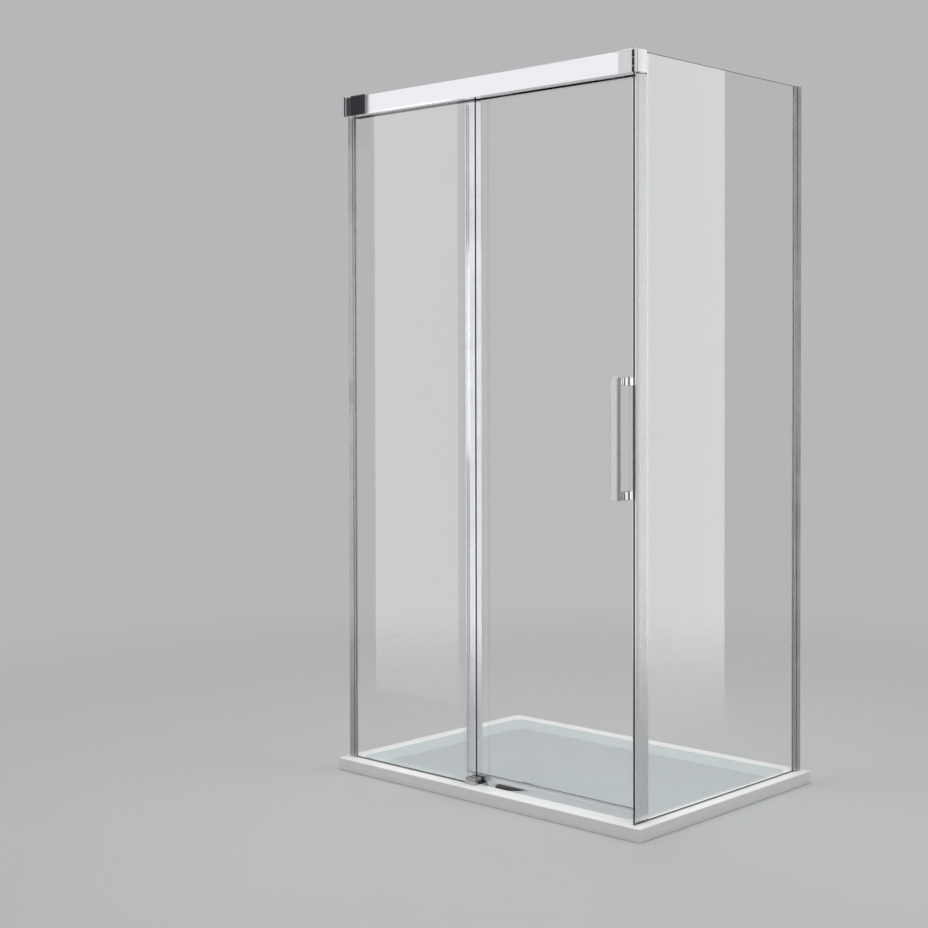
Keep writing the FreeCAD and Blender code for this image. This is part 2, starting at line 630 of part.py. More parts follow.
def rail_section():
    """Outline of the rail: hollow front box, glass groove, roller track and back wall."""
    ceiling = TOP - RAIL_WALL
    shelf = GROOVE_TOP + RAIL_WALL
    floor = RAIL_BOTTOM + RAIL_WALL
    lip = RAIL_BACK_INSIDE - RAIL_LIP
    rib_back = ROLLER_MIDDLE + TRACK_RIB_RADIUS
    rib_front = ROLLER_MIDDLE - TRACK_RIB_RADIUS
    rib_side = LEDGE_TOP + TRACK_RIB_HEIGHT - TRACK_RIB_RADIUS
    before_rib = [
        (RAIL_FRONT, TOP), (RAIL_FRONT, RAIL_BOTTOM), (GROOVE_FRONT, RAIL_BOTTOM), (GROOVE_FRONT, GROOVE_TOP),
        (GROOVE_BACK, GROOVE_TOP), (GROOVE_BACK, RAIL_BOTTOM), (PARTITION_BACK, RAIL_BOTTOM),
        (PARTITION_BACK, LEDGE_TOP - RAIL_WALL), (LEDGE_BACK, LEDGE_TOP - RAIL_WALL), (LEDGE_BACK, LEDGE_TOP),
        (rib_back, LEDGE_TOP), (rib_back, rib_side),
    ]
    after_rib = [
        (rib_front, rib_side), (rib_front, LEDGE_TOP), (PARTITION_BACK, LEDGE_TOP), (PARTITION_BACK, shelf),
        (GROOVE_FRONT, shelf), (GROOVE_FRONT, ceiling), (RAIL_BACK_INSIDE, ceiling),
        (RAIL_BACK_INSIDE, floor), (lip, floor), (lip, RAIL_BOTTOM), (RAIL_BACK, RAIL_BOTTOM),
        (RAIL_BACK, TOP), (RAIL_FRONT, TOP),
    ]
    rib_top = (ROLLER_MIDDLE, LEDGE_TOP + TRACK_RIB_HEIGHT)
    return before_rib, rib_top, after_rib


def at_rail_start(point):
    return Vector(RAIL_START, point[0], point[1])


def set_screw_places():
    return [RAIL_START + WALL_SLEEVE_FROM_FLANGE + WALL_SLEEVE_LENGTH + PLUG_BEYOND_SLEEVE / 2,
            RAIL_END - CORNER_SLEEVE_LENGTH - PLUG_BEYOND_SLEEVE / 2]


def set_screw(x, radius):
    start = Vector(x, CHAMBER_MIDDLE, RAIL_BOTTOM)
    return rod(start, Vector(0, 0, 1), radius, SET_SCREW_LENGTH)


def make_rail():
    before_rib, rib_top, after_rib = rail_section()
    edges = []
    for run in (before_rib, after_rib):
        for start, end in zip(run[:-1], run[1:]):
            edges.append(Part.LineSegment(at_rail_start(start), at_rail_start(end)).toShape())
    crest = Part.Arc(at_rail_start(before_rib[-1]), at_rail_start(rib_top), at_rail_start(after_rib[0]))
    edges.insert(len(before_rib) - 1, crest.toShape())
    run = Vector(RAIL_END - RAIL_START, 0, 0)
    rail = Part.Face(Part.Wire(edges)).extrude(run)
    chamber = block((RAIL_START, RAIL_END), (CHAMBER_FRONT, CHAMBER_BACK),
                    (RAIL_BOTTOM + RAIL_WALL, TOP - RAIL_WALL))
    rail = rail.cut(chamber)
    front_edges = [edge for edge in edges_along(rail, Vector(1, 0, 0))
                   if all(abs(v.Y - RAIL_FRONT) < SEAT_ROOM for v in edge.Vertexes)]
    rail = rail.makeFillet(RAIL_EDGE_RADIUS, front_edges)
    for x in set_screw_places():
        rail = rail.cut(set_screw(x, SET_SCREW_RADIUS + SEAT_ROOM))
    return rail


def make_sleeve(x_range):
    """A cover over the rail's end: a front plate and a top plate, flush with the rail's underside."""
    face = RAIL_FRONT - SLEEVE_WALL
    section = [(RAIL_BACK, TOP), (RAIL_BACK, TOP + SLEEVE_WALL), (face, TOP + SLEEVE_WALL),
               (face, RAIL_BOTTOM), (RAIL_FRONT, RAIL_BOTTOM), (RAIL_FRONT, TOP)]
    sleeve = along_x(section, x_range)
    rounded = [edge for edge in edges_along(sleeve, Vector(1, 0, 0))
               if all(abs(v.Y - face) < SEAT_ROOM and v.Z > TOP for v in edge.Vertexes)]
    inner_corner = [edge for edge in edges_along(sleeve, Vector(1, 0, 0))
                    if all(abs(v.Y - RAIL_FRONT) < SEAT_ROOM and abs(v.Z - TOP) < SEAT_ROOM
                           for v in edge.Vertexes)]
    return sleeve.makeFillet(RAIL_EDGE_RADIUS, rounded + inner_corner)


def plug_ranges():
    y_range = (CHAMBER_FRONT + PLUG_ROOM, CHAMBER_BACK - PLUG_ROOM)
    z_range = (RAIL_BOTTOM + RAIL_WALL + PLUG_ROOM, TOP - RAIL_WALL - PLUG_ROOM)
    return y_range, z_range


def flange_hole_line():
    return (ROLLER_BACK + RAIL_BACK_INSIDE) / 2


def make_wall_bracket():
    """Flange on the wall with a spigot in the rail's front box."""
    flange = block((LEFT_WALL, RAIL_START), (RAIL_FRONT - SLEEVE_WALL, RAIL_BACK),
                   (RAIL_BOTTOM, TOP + SLEEVE_WALL))
    flange = flange.makeFillet(RAIL_EDGE_RADIUS, edges_along(flange, Vector(1, 0, 0)))
    length = WALL_SLEEVE_FROM_FLANGE + WALL_SLEEVE_LENGTH + PLUG_BEYOND_SLEEVE
    y_range, z_range = plug_ranges()
    bracket = flange.fuse(block((RAIL_START, RAIL_START + length), y_range, z_range))
    bracket = bracket.cut(set_screw(set_screw_places()[0], SET_SCREW_RADIUS + SEAT_ROOM))
    for side in (-1, 1):
        start = Vector(LEFT_WALL, flange_hole_line(), RAIL_MIDDLE + side * FLANGE_HOLE_SPACING / 2)
        bracket = bracket.cut(rod(start, Vector(1, 0, 0), FLANGE_HOLE_RADIUS, WALL_FLANGE))
    return bracket.removeSplitter()


def clamp_stud(level, radius, start, end):
    return rod(Vector(start, CHAMBER_MIDDLE, level), Vector(1, 0, 0), radius, end - start)


def make_corner_plug():
    y_range, z_range = plug_ranges()
    plug = block((RAIL_END - CORNER_SLEEVE_LENGTH - PLUG_BEYOND_SLEEVE, RAIL_END), y_range, z_range)
    for level in clamp_stud_levels():
        hole = clamp_stud(level, CLAMP_STUD_RADIUS + SEAT_ROOM, RAIL_END - CLAMP_STUD_IN_PLUG, RAIL_END)
        plug = plug.cut(hole)
    return plug.cut(set_screw(set_screw_places()[1], SET_SCREW_RADIUS + SEAT_ROOM))


def clamp_depth():
    return (RAIL_FRONT, RAIL_FRONT - SLEEVE_WALL + CLAMP_CAP_DEPTH)


def make_clamp_gaskets():
    gaskets = []
    for start in (RAIL_END, SIDE_OUTER):
        x_range = (start, start + CLAMP_GASKET)
        sheet = block(x_range, clamp_depth(), (RAIL_BOTTOM, TOP))
        for level in clamp_stud_levels():
            sheet = sheet.cut(notch(x_range, level))
        gaskets.append(sheet)
    return gaskets


def make_clamp_cap():
    inside = SIDE_OUTER + CLAMP_GASKET
    cap = block((inside, inside + CLAMP_CAP_THICKNESS),
                (RAIL_FRONT - SLEEVE_WALL, clamp_depth()[1]),
                (RAIL_BOTTOM, TOP + SLEEVE_WALL))
    outer = [edge for edge in cap.Edges
             if all(abs(v.X - inside - CLAMP_CAP_THICKNESS) < SEAT_ROOM for v in edge.Vertexes)]
    cap = cap.makeFillet(CLAMP_CAP_EDGE_RADIUS, outer)
    for level in clamp_stud_levels():
        cap = cap.cut(clamp_stud(level, CLAMP_STUD_RADIUS + SEAT_ROOM, inside, inside + CLAMP_STUD_IN_CAP))
    return cap


def make_clamp_studs():
    end = SIDE_OUTER + CLAMP_GASKET + CLAMP_STUD_IN_CAP
    return [clamp_stud(level, CLAMP_STUD_RADIUS, RAIL_END - CLAMP_STUD_IN_PLUG, end)
            for level in clamp_stud_levels()]


def make_top_gaskets():
    z_range = (RAIL_BOTTOM, RAIL_BOTTOM + RAIL_GASKET_HEIGHT)
    x_range = (RAIL_START, FIXED_FREE_EDGE)
    return [block(x_range, (GROOVE_FRONT, FIXED_OUTER), z_range),
            block(x_range, (FIXED_INNER, GROOVE_BACK), z_range)]


def make_infill():
    """Cover strip that closes the glass groove over the doorway."""
    z_range = (RAIL_BOTTOM, RAIL_BOTTOM + INFILL_HEIGHT)
    return block((FIXED_FREE_EDGE + INFILL_END_ROOM, RAIL_END),
                 (GROOVE_FRONT + SEAT_ROOM, GROOVE_BACK - SEAT_ROOM), z_range)


# Rollers, hangers and stops

def make_roller(x):
    """A grooved roller that runs on the track's rib."""
    half = ROLLER_WIDTH / 2
    outside = ROLLER_RADIUS + ROLLER_FLANGE
    groove = TRACK_RIB_RADIUS + ROLLER_GROOVE_ROOM
    bore = AXLE_RADIUS + AXLE_ROOM
    web = half - ROLLER_WEB_SINK
    back_half = [(groove, ROLLER_RADIUS), (groove + ROLLER_GROOVE_FLARE, outside),
                 (half - ROLLER_EDGE, outside), (half, outside - ROLLER_EDGE), (half, ROLLER_WEB_RADIUS),
                 (web, ROLLER_WEB_RADIUS), (web, ROLLER_HUB_RADIUS), (half, ROLLER_HUB_RADIUS), (half, bore)]
    front_half = [(-y, radius) for y, radius in reversed(back_half)]
    profile = [(ROLLER_MIDDLE + y, radius) for y, radius in front_half + back_half]
    return turned_about_y(x, AXLE_LEVEL, profile)


def make_axle(x):
    """A shouldered pin, riveted in the hanger plate, with a head in front of the roller."""
    head_back = ROLLER_FRONT - AXLE_END_ROOM
    shoulder = ROLLER_BACK + AXLE_END_ROOM
    profile = [(head_back - AXLE_HEAD, 0), (head_back - AXLE_HEAD, AXLE_SHOULDER_RADIUS),
               (head_back, AXLE_SHOULDER_RADIUS), (head_back, AXLE_RADIUS), (shoulder, AXLE_RADIUS),
               (shoulder, AXLE_SHOULDER_RADIUS), (HANGER_FRONT, AXLE_SHOULDER_RADIUS),
               (HANGER_FRONT, AXLE_RADIUS), (HANGER_BACK, AXLE_RADIUS), (HANGER_BACK, 0)]
    return turned_about_y(x, AXLE_LEVEL, profile)


def make_hanger(middle):
    plate = block(centred(middle, HANGER_LENGTH), (HANGER_FRONT, HANGER_BACK),
                  (RAIL_BOTTOM + HANGER_ABOVE_RAIL_BOTTOM, AXLE_LEVEL + HANGER_ABOVE_AXLE))
    plate = plate.makeFillet(HANGER_CORNER_RADIUS, edges_along(plate, Vector(0, 1, 0)))
    holes = [(x, AXLE_LEVEL, AXLE_RADIUS) for x in centred(middle, ROLLER_SPACING)]
    holes += [(x, HANGER_BOLT_LEVEL, HANGER_BOLT_RADIUS) for x in hanger_bolt_places(middle)]
    for x, z, radius in holes:
        start = Vector(x, HANGER_FRONT, z)
        plate = plate.cut(rod(start, Vector(0, 1, 0), radius + SEAT_ROOM, HANGER_THICKNESS))
    return plate


def clamp_sheet(hanger, y_range, hole_radius):
    """A small sheet behind or before the glass, pierced by the hanger's two bolts."""
    length = HANGER_BOLT_SPACING + 2 * HANGER_CLAMP_MARGIN
    sheet = block(centred(hanger, length), y_range, centred(HANGER_BOLT_LEVEL, 2 * HANGER_CLAMP_MARGIN))
    for x in hanger_bolt_places(hanger):
        start = Vector(x, y_range[0], HANGER_BOLT_LEVEL)
        sheet = sheet.cut(rod(start, Vector(0, 1, 0), hole_radius, y_range[1] - y_range[0]))
    return sheet


def make_hanger_bolt(x):
    head = HANGER_FRONT - HANGER_BOLT_HEAD
    profile = [(head, 0), (head, HANGER_BOLT_HEAD_RADIUS),
               (HANGER_FRONT, HANGER_BOLT_HEAD_RADIUS), (HANGER_FRONT, HANGER_BOLT_RADIUS),
               (CLAMP_BACK, HANGER_BOLT_RADIUS), (CLAMP_BACK, 0)]
    return turned_about_y(x, HANGER_BOLT_LEVEL, profile)


def make_hangers():
    hangers = [HANGER_LEFT, HANGER_RIGHT]
    hole = HANGER_BOLT_RADIUS + SEAT_ROOM
    plates = [make_hanger(hanger) for hanger in hangers]
    clamps = [clamp_sheet(hanger, (CLAMP_FRONT, CLAMP_BACK), hole) for hanger in hangers]
    pads = [clamp_sheet(hanger, y_range, hole) for hanger in hangers
            for y_range in ((HANGER_BACK, DOOR_OUTER), (DOOR_INNER, CLAMP_FRONT))]
    bolts = [make_hanger_bolt(x) for hanger in hangers for x in hanger_bolt_places(hanger)]
    axles = [make_axle(x) for x in ROLLER_PLACES]
    return plates, clamps, pads, bolts, axles


def make_stop(contact, side):
    """One stop block on the track, its rubber buffer and its screw; side is -1 or 1 along X."""
    face = contact + side * BUFFER_LENGTH
    x_range = tuple(sorted((face, face + side * STOP_LENGTH)))
    top = AXLE_LEVEL + STOP_ABOVE_AXLE
    stop = block(x_range, (PARTITION_BACK + SLIDE_ROOM, LEDGE_BACK), (LEDGE_TOP, top))
    rib = TRACK_RIB_RADIUS + SLIDE_ROOM
    over_rib = LEDGE_TOP + TRACK_RIB_HEIGHT + SLIDE_ROOM
    stop = stop.cut(block(x_range, centred(ROLLER_MIDDLE, 2 * rib), (LEDGE_TOP, over_rib)))
    screw_middle = Vector((x_range[0] + x_range[1]) / 2, ROLLER_MIDDLE, over_rib)
    reach = top - over_rib
    stop = stop.cut(rod(screw_middle, Vector(0, 0, 1), STOP_SCREW_RADIUS + SEAT_ROOM, reach))
    head = rod(screw_middle + Vector(0, 0, reach), Vector(0, 0, 1), STOP_SCREW_HEAD_RADIUS, STOP_SCREW_HEAD)
    screw = rod(screw_middle, Vector(0, 0, 1), STOP_SCREW_RADIUS, reach).fuse(head).removeSplitter()
    buffer = rod(Vector(face, ROLLER_MIDDLE, AXLE_LEVEL), Vector(-side, 0, 0), BUFFER_RADIUS, BUFFER_LENGTH)
    return stop, buffer, screw


def make_stops():
    reach = ROLLER_RADIUS + ROLLER_FLANGE + STOP_GAP
    open_stop = make_stop(ROLLER_PLACES[0] - DOOR_TRAVEL - reach, -1)
    closed_stop = make_stop(ROLLER_PLACES[-1] + reach, 1)
    return [list(group) for group in zip(open_stop, closed_stop)]


# Door edge profiles and seals

def make_bottom_profile():
    front = DOOR_OUTER - PROFILE_WALL
    back = DOOR_INNER + PROFILE_WALL
    section = [(front, DOOR_PROFILE_FOOT), (back, DOOR_PROFILE_FOOT), (back, DOOR_PROFILE_TOP),
               (DOOR_INNER, DOOR_PROFILE_TOP), (DOOR_INNER, DOOR_GLASS_FOOT), (DOOR_OUTER, DOOR_GLASS_FOOT),
               (DOOR_OUTER, DOOR_PROFILE_TOP), (front, DOOR_PROFILE_TOP)]
    x_range = (DOOR_GLASS_START, DOOR_GLASS_END)
    profile = along_x(section, x_range)
    for level in (DOOR_PROFILE_FOOT + PROFILE_GROOVE_FROM_EDGE, DOOR_PROFILE_TOP - PROFILE_GROOVE_FROM_EDGE):
        groove = block(x_range, (front, front + PROFILE_GROOVE_DEPTH), centred(level, PROFILE_GROOVE_WIDTH))
        profile = profile.cut(groove)
    return profile


def make_wiper():
    tip = RIM + GUIDE_PLATE + WIPER_ROOM
    base = DOOR_PROFILE_FOOT - WIPER_BASE
    section = [(DOOR_MIDDLE - GLASS / 2, DOOR_PROFILE_FOOT), (DOOR_MIDDLE - GLASS / 2, base),
               (DOOR_MIDDLE - WIPER_FIN / 2, base), (DOOR_MIDDLE - WIPER_FIN_TIP / 2, tip),
               (DOOR_MIDDLE + WIPER_FIN_TIP / 2, tip), (DOOR_MIDDLE + WIPER_FIN / 2, base),
               (DOOR_MIDDLE + GLASS / 2, base), (DOOR_MIDDLE + GLASS / 2, DOOR_PROFILE_FOOT)]
    return along_x(section, (DOOR_GLASS_START, DOOR_GLASS_END))


def upright_range():
    return (UPRIGHT_FOOT, UPRIGHT_TOP)


def make_leading_profile():
    front = DOOR_OUTER - PROFILE_WALL
    back = DOOR_INNER + PROFILE_WALL
    start = LEADING_EDGE - LEADING_PROFILE_WIDTH
    section = [(start, front), (LEADING_EDGE, front), (LEADING_EDGE, back), (start, back),
               (start, DOOR_INNER), (DOOR_GLASS_END, DOOR_INNER), (DOOR_GLASS_END, DOOR_OUTER),
               (start, DOOR_OUTER)]
    return along_z(section, upright_range())


def make_door_magnet():
    return block((LEADING_EDGE, DOOR_MAGNET_FACE), centred(DOOR_MIDDLE, MAGNET_WIDTH), upright_range())


def overlap_seal_start():
    return TRAILING_EDGE + OVERLAP_SEAL_FROM_EDGE


def make_trailing_profile():
    """Edge channel with a wide front leaf and two hooks that hold the overlap seal."""
    front = DOOR_OUTER - PROFILE_WALL
    back = DOOR_INNER + PROFILE_WALL
    hook = front - OVERLAP_HOOK_HEIGHT
    end = TRAILING_EDGE + TRAILING_PROFILE_WIDTH
    seal_start = overlap_seal_start()
    seal_end = seal_start + OVERLAP_SEAL_WIDTH
    section = [(TRAILING_EDGE, front), (seal_start - PROFILE_WALL, front), (seal_start - PROFILE_WALL, hook),
               (seal_start, hook), (seal_start, front), (seal_end, front), (seal_end, hook),
               (seal_end + PROFILE_WALL, hook), (seal_end + PROFILE_WALL, front), (end, front),
               (end, DOOR_OUTER), (DOOR_GLASS_START, DOOR_OUTER), (DOOR_GLASS_START, DOOR_INNER),
               (TRAILING_EDGE + TRAILING_BACK_LEG, DOOR_INNER), (TRAILING_EDGE + TRAILING_BACK_LEG, back),
               (TRAILING_EDGE, back)]
    return along_z(section, upright_range())


def make_overlap_seal():
    start = overlap_seal_start()
    return block((start, start + OVERLAP_SEAL_WIDTH), (FIXED_INNER + SEAL_ROOM, DOOR_OUTER - PROFILE_WALL),
                 upright_range())


# Strike inside the side glass

def make_strike():
    back = DOOR_INNER + STRIKE_BEHIND_DOOR
    front = back - STRIKE_BASE_WIDTH
    box_front = back - STRIKE_BOX_WIDTH
    base = SIDE_INNER - STRIKE_BASE
    section = [(SIDE_INNER, front), (SIDE_INNER, back), (STRIKE_FACE, back), (STRIKE_FACE, box_front),
               (base, box_front), (base, front)]
    z_range = (RIM, STRIKE_TOP)
    hollow = block((STRIKE_FACE + STRIKE_BOX_WALL, base),
                   (box_front + STRIKE_BOX_WALL, back - STRIKE_BOX_WALL), z_range)
    return along_z(section, z_range).cut(hollow)


def make_strike_magnet():
    return block((STRIKE_MAGNET_FACE, STRIKE_FACE), centred(DOOR_MIDDLE, MAGNET_WIDTH), (RIM, STRIKE_TOP))


# Bottom guide

def guide_pad_spans():
    """Where the two pads stand across the door: one in front of its bottom profile and one behind."""
    front = DOOR_OUTER - PROFILE_WALL - GUIDE_PAD_ROOM
    back = DOOR_INNER + PROFILE_WALL + GUIDE_PAD_ROOM
    return (front - GUIDE_FRONT_PAD, front), (back, back + GUIDE_BACK_PAD)


def guide_screw_places():
    return [GUIDE_START + GUIDE_SCREW_FROM_END, GUIDE_END - GUIDE_SCREW_FROM_END]


def guide_screw_line():
    front_pad, back_pad = guide_pad_spans()
    return (FIXED_INNER + GUIDE_GLASS_ROOM + front_pad[0]) / 2


def make_guide_screw(x):
    top = RIM + GUIDE_HEIGHT
    foot = Vector(x, guide_screw_line(), RIM - GUIDE_SCREW_IN_TRAY)
    shank = rod(foot, Vector(0, 0, 1), GUIDE_SCREW_RADIUS, top - foot.z - GUIDE_SCREW_HEAD)
    head = rod(Vector(foot.x, foot.y, top - GUIDE_SCREW_HEAD), Vector(0, 0, 1), GUIDE_SCREW_HEAD_RADIUS,
               GUIDE_SCREW_HEAD)
    return shank.fuse(head).removeSplitter()


def make_guide():
    """Base plate with a block that grips the fixed panel and a finger behind the door."""
    x_range = (GUIDE_START, GUIDE_END)
    front = FIXED_OUTER - GUIDE_BEFORE_GLASS
    front_pad, back_pad = guide_pad_spans()
    finger = back_pad[1]
    body = block(x_range, (front, front_pad[0]), (RIM, RIM + GUIDE_HEIGHT))
    top_edges = [edge for edge in body.Edges
                 if all(abs(v.Z - RIM - GUIDE_HEIGHT) < SEAT_ROOM for v in edge.Vertexes)]
    body = body.makeFillet(GUIDE_EDGE_RADIUS, top_edges)
    body = body.fuse(block(x_range, (front, finger + GUIDE_FINGER), (RIM, RIM + GUIDE_PLATE)))
    body = body.fuse(block(x_range, (finger, finger + GUIDE_FINGER), (RIM, RIM + GUIDE_FINGER_HEIGHT)))
    slot = block((GUIDE_START, FIXED_FREE_EDGE + GUIDE_GLASS_ROOM),
                 (FIXED_OUTER - GUIDE_GLASS_ROOM, FIXED_INNER + GUIDE_GLASS_ROOM),
                 (RIM + GUIDE_PLATE, RIM + GUIDE_HEIGHT))
    body = body.cut(slot)
    for x in guide_screw_places():
        start = Vector(x, guide_screw_line(), RIM)
        body = body.cut(rod(start, Vector(0, 0, 1), GUIDE_SCREW_RADIUS + SEAT_ROOM, GUIDE_HEIGHT))
        start.z = RIM + GUIDE_HEIGHT - GUIDE_SCREW_HEAD
        body = body.cut(rod(start, Vector(0, 0, 1), GUIDE_SCREW_HEAD_RADIUS + SEAT_ROOM, GUIDE_SCREW_HEAD))
    return body.removeSplitter()


def make_guide_pads():
    x_range = (GUIDE_START, GUIDE_END)
    foot = RIM + GUIDE_PLATE
    front_pad, back_pad = guide_pad_spans()
    return [block(x_range, front_pad, (foot, RIM + GUIDE_HEIGHT)),
            block(x_range, back_pad, (foot, RIM + GUIDE_FINGER_HEIGHT))]


# Handles: side is -1 for the outer handle and 1 for the inner one

def handle_face(side):
    return DOOR_OUTER if side < 0 else DOOR_INNER


def make_handle_bar(side):
    near = handle_face(side) + side * (HANDLE_WASHER + HANDLE_POST_LENGTH)
    y_range = tuple(sorted((near, near + side * HANDLE_BAR_DEPTH)))
    bar = block(centred(HANDLE_MIDDLE, HANDLE_BAR_WIDTH), y_range, centred(HANDLE_LEVEL, HANDLE_LENGTH))
    bar = bar.makeFillet(HANDLE_BAR_RADIUS, edges_along(bar, Vector(0, 0, 1)))
    ends = [edge for edge in bar.Edges
            if abs(edge.BoundBox.ZLength) < SEAT_ROOM]
    return bar.makeFillet(HANDLE_END_RADIUS, ends)


def make_handle_foot(side, level, start, length):
    """A length of the handle's square post, bored for its stud."""
    y_range = tuple(sorted((start, start + side * length)))
    post = block(centred(HANDLE_MIDDLE, HANDLE_BAR_WIDTH), y_range, centred(level, HANDLE_POST_HEIGHT))
    post = post.makeFillet(HANDLE_POST_EDGE_RADIUS, edges_along(post, Vector(0, 1, 0)))
    depth = min(length, HANDLE_STUD_IN_POST)
    hole = rod(Vector(HANDLE_MIDDLE, start, level), Vector(0, side, 0), HANDLE_STUD_RADIUS + SEAT_ROOM, depth)
    return post.cut(hole)


def make_handle_posts(side):
    start = handle_face(side) + side * HANDLE_WASHER
    return [make_handle_foot(side, level, start, HANDLE_POST_LENGTH) for level in handle_post_levels()]


def make_handle_washers():
    return [make_handle_foot(side, level, handle_face(side), HANDLE_WASHER)
            for side in (-1, 1) for level in handle_post_levels()]


def make_handle_studs():
    reach = HANDLE_WASHER + HANDLE_STUD_IN_POST
    return [rod(Vector(HANDLE_MIDDLE, DOOR_OUTER - reach, level), Vector(0, 1, 0), HANDLE_STUD_RADIUS,
                GLASS + 2 * reach) for level in handle_post_levels()]


# The assembly: every node's name and its solids

def assemble():
    nodes = {}
    nodes["shower_tray"] = [make_tray()]
    nodes["waste_flange"] = [make_waste_flange()]
    nodes["waste_cover"] = [make_waste_cover()]

    front_range = (RIM, RAIL_BOTTOM)
    side_range = (RIM, TOP - CHANNEL_CAP)
    for name, place, pull_out, z_range in (("front", at_front, FRONT_PULL_OUT, front_range),
                                           ("side", at_side, SIDE_PULL_OUT, side_range)):
        outer, inner, gaskets, screws = make_wall_profile(place, pull_out, z_range)
        nodes[name + "_wall_channel"] = [outer]
        nodes[name + "_glazing_channel"] = [inner]
        nodes[name + "_channel_gaskets"] = gaskets
        nodes[name + "_channel_screws"] = screws
    nodes["side_channel_cap"] = [make_channel_cap(at_side, SIDE_PULL_OUT, TOP - CHANNEL_CAP)]

    nodes["fixed_panel_glass"] = [make_fixed_glass()]
    nodes["side_panel_glass"] = [make_side_glass()]
    fixed_sill, side_sill = make_sill_seals()
    nodes["fixed_panel_sill_seal"] = [fixed_sill]
    nodes["side_panel_sill_seal"] = [side_sill]

    nodes["top_rail"] = [make_rail()]
    nodes["fixed_panel_top_gasket"] = make_top_gaskets()
    nodes["rail_infill_strip"] = [make_infill()]
    nodes["rail_wall_bracket"] = [make_wall_bracket()]
    sleeve_start = RAIL_START + WALL_SLEEVE_FROM_FLANGE
    nodes["rail_end_sleeve"] = [make_sleeve((sleeve_start, sleeve_start + WALL_SLEEVE_LENGTH))]
    nodes["corner_sleeve"] = [make_sleeve((RAIL_END - CORNER_SLEEVE_LENGTH, RAIL_END))]
    nodes["corner_plug"] = [make_corner_plug()]
    nodes["corner_clamp_cap"] = [make_clamp_cap()]
    nodes["corner_clamp_gaskets"] = make_clamp_gaskets()
    nodes["corner_clamp_studs"] = make_clamp_studs()
    nodes["rail_set_screws"] = [set_screw(x, SET_SCREW_RADIUS) for x in set_screw_places()]
    blocks, buffers, screws = make_stops()
    nodes["stop_blocks"] = blocks
    nodes["stop_buffers"] = buffers
    nodes["stop_screws"] = screws

    nodes["strike_profile"] = [make_strike()]
    nodes["strike_magnet"] = [make_strike_magnet()]
    nodes["bottom_guide"] = [make_guide()]
    nodes["guide_pads"] = make_guide_pads()
    nodes["guide_screws"] = [make_guide_screw(x) for x in guide_screw_places()]

    nodes["door_glass"] = [make_door_glass()]
    plates, clamps, pads, bolts, axles = make_hangers()
    nodes["hanger_left"] = [plates[0]]
    nodes["hanger_right"] = [plates[1]]
    nodes["hanger_clamps"] = clamps
    nodes["hanger_pads"] = pads
    nodes["hanger_bolts"] = bolts
    nodes["roller_axles"] = axles
    for index, x in enumerate(ROLLER_PLACES):
        nodes["roller_%d" % (index + 1)] = [make_roller(x)]
    nodes["door_bottom_profile"] = [make_bottom_profile()]
    nodes["door_wiper_seal"] = [make_wiper()]
    nodes["door_leading_profile"] = [make_leading_profile()]
    nodes["door_magnet"] = [make_door_magnet()]
    nodes["door_trailing_profile"] = [make_trailing_profile()]
    nodes["door_overlap_seal"] = [make_overlap_seal()]
    nodes["handle_outer_bar"] = [make_handle_bar(-1)]
    nodes["handle_inner_bar"] = [make_handle_bar(1)]
    nodes["handle_outer_posts"] = make_handle_posts(-1)
    nodes["handle_inner_posts"] = make_handle_posts(1)
    nodes["handle_washers"] = make_handle_washers()
    nodes["handle_studs"] = make_handle_studs()
    return nodes


def main():
    os.makedirs("parts", exist_ok=True)
    for name, solids in assemble().items():
        shape = solids[0] if len(solids) == 1 else Part.makeCompound(solids)
        shape.exportStep("parts/%s.step" % name)


main()
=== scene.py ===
import json
import math

import bmesh
import bpy
from mathutils import Matrix, Vector

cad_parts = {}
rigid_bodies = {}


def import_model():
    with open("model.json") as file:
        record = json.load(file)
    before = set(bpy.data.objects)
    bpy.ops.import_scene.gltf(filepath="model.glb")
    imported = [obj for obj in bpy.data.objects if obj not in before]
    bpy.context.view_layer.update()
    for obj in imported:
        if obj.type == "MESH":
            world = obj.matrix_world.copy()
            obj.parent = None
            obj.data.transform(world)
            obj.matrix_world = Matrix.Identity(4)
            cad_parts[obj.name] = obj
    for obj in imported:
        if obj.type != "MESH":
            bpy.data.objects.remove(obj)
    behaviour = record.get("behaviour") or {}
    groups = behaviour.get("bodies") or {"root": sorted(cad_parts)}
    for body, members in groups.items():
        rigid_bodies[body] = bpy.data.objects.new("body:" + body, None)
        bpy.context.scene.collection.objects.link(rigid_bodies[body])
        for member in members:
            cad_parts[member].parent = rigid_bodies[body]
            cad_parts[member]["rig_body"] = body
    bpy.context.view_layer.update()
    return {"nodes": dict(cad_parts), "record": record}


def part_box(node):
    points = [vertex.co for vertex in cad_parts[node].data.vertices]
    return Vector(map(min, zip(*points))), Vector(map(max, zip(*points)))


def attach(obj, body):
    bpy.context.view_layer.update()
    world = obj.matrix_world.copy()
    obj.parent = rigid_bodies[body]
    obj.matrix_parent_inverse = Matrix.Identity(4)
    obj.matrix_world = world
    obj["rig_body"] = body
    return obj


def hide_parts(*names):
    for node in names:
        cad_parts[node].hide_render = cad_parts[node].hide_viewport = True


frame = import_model()
scene = bpy.context.scene

# Sizes are in metres, in the frame of the enclosure: +X along the front towards the open corner,
# +Y from the front to the back, +Z up, with the floor at zero

# The view, in the photograph's own square frame
PICTURE = 928
SENSOR = 36.0
FOCAL_PIXELS = 1624.648
MIDDLE_COLUMN = 459.7715
MIDDLE_ROW = 398.5242
CAMERA_PLACE = (2.967313, -3.612147, 1.180668)
CAMERA_HEADING = 43.2797
CAMERA_DIP = 1.1207
CAMERA_ROLL = -0.1277

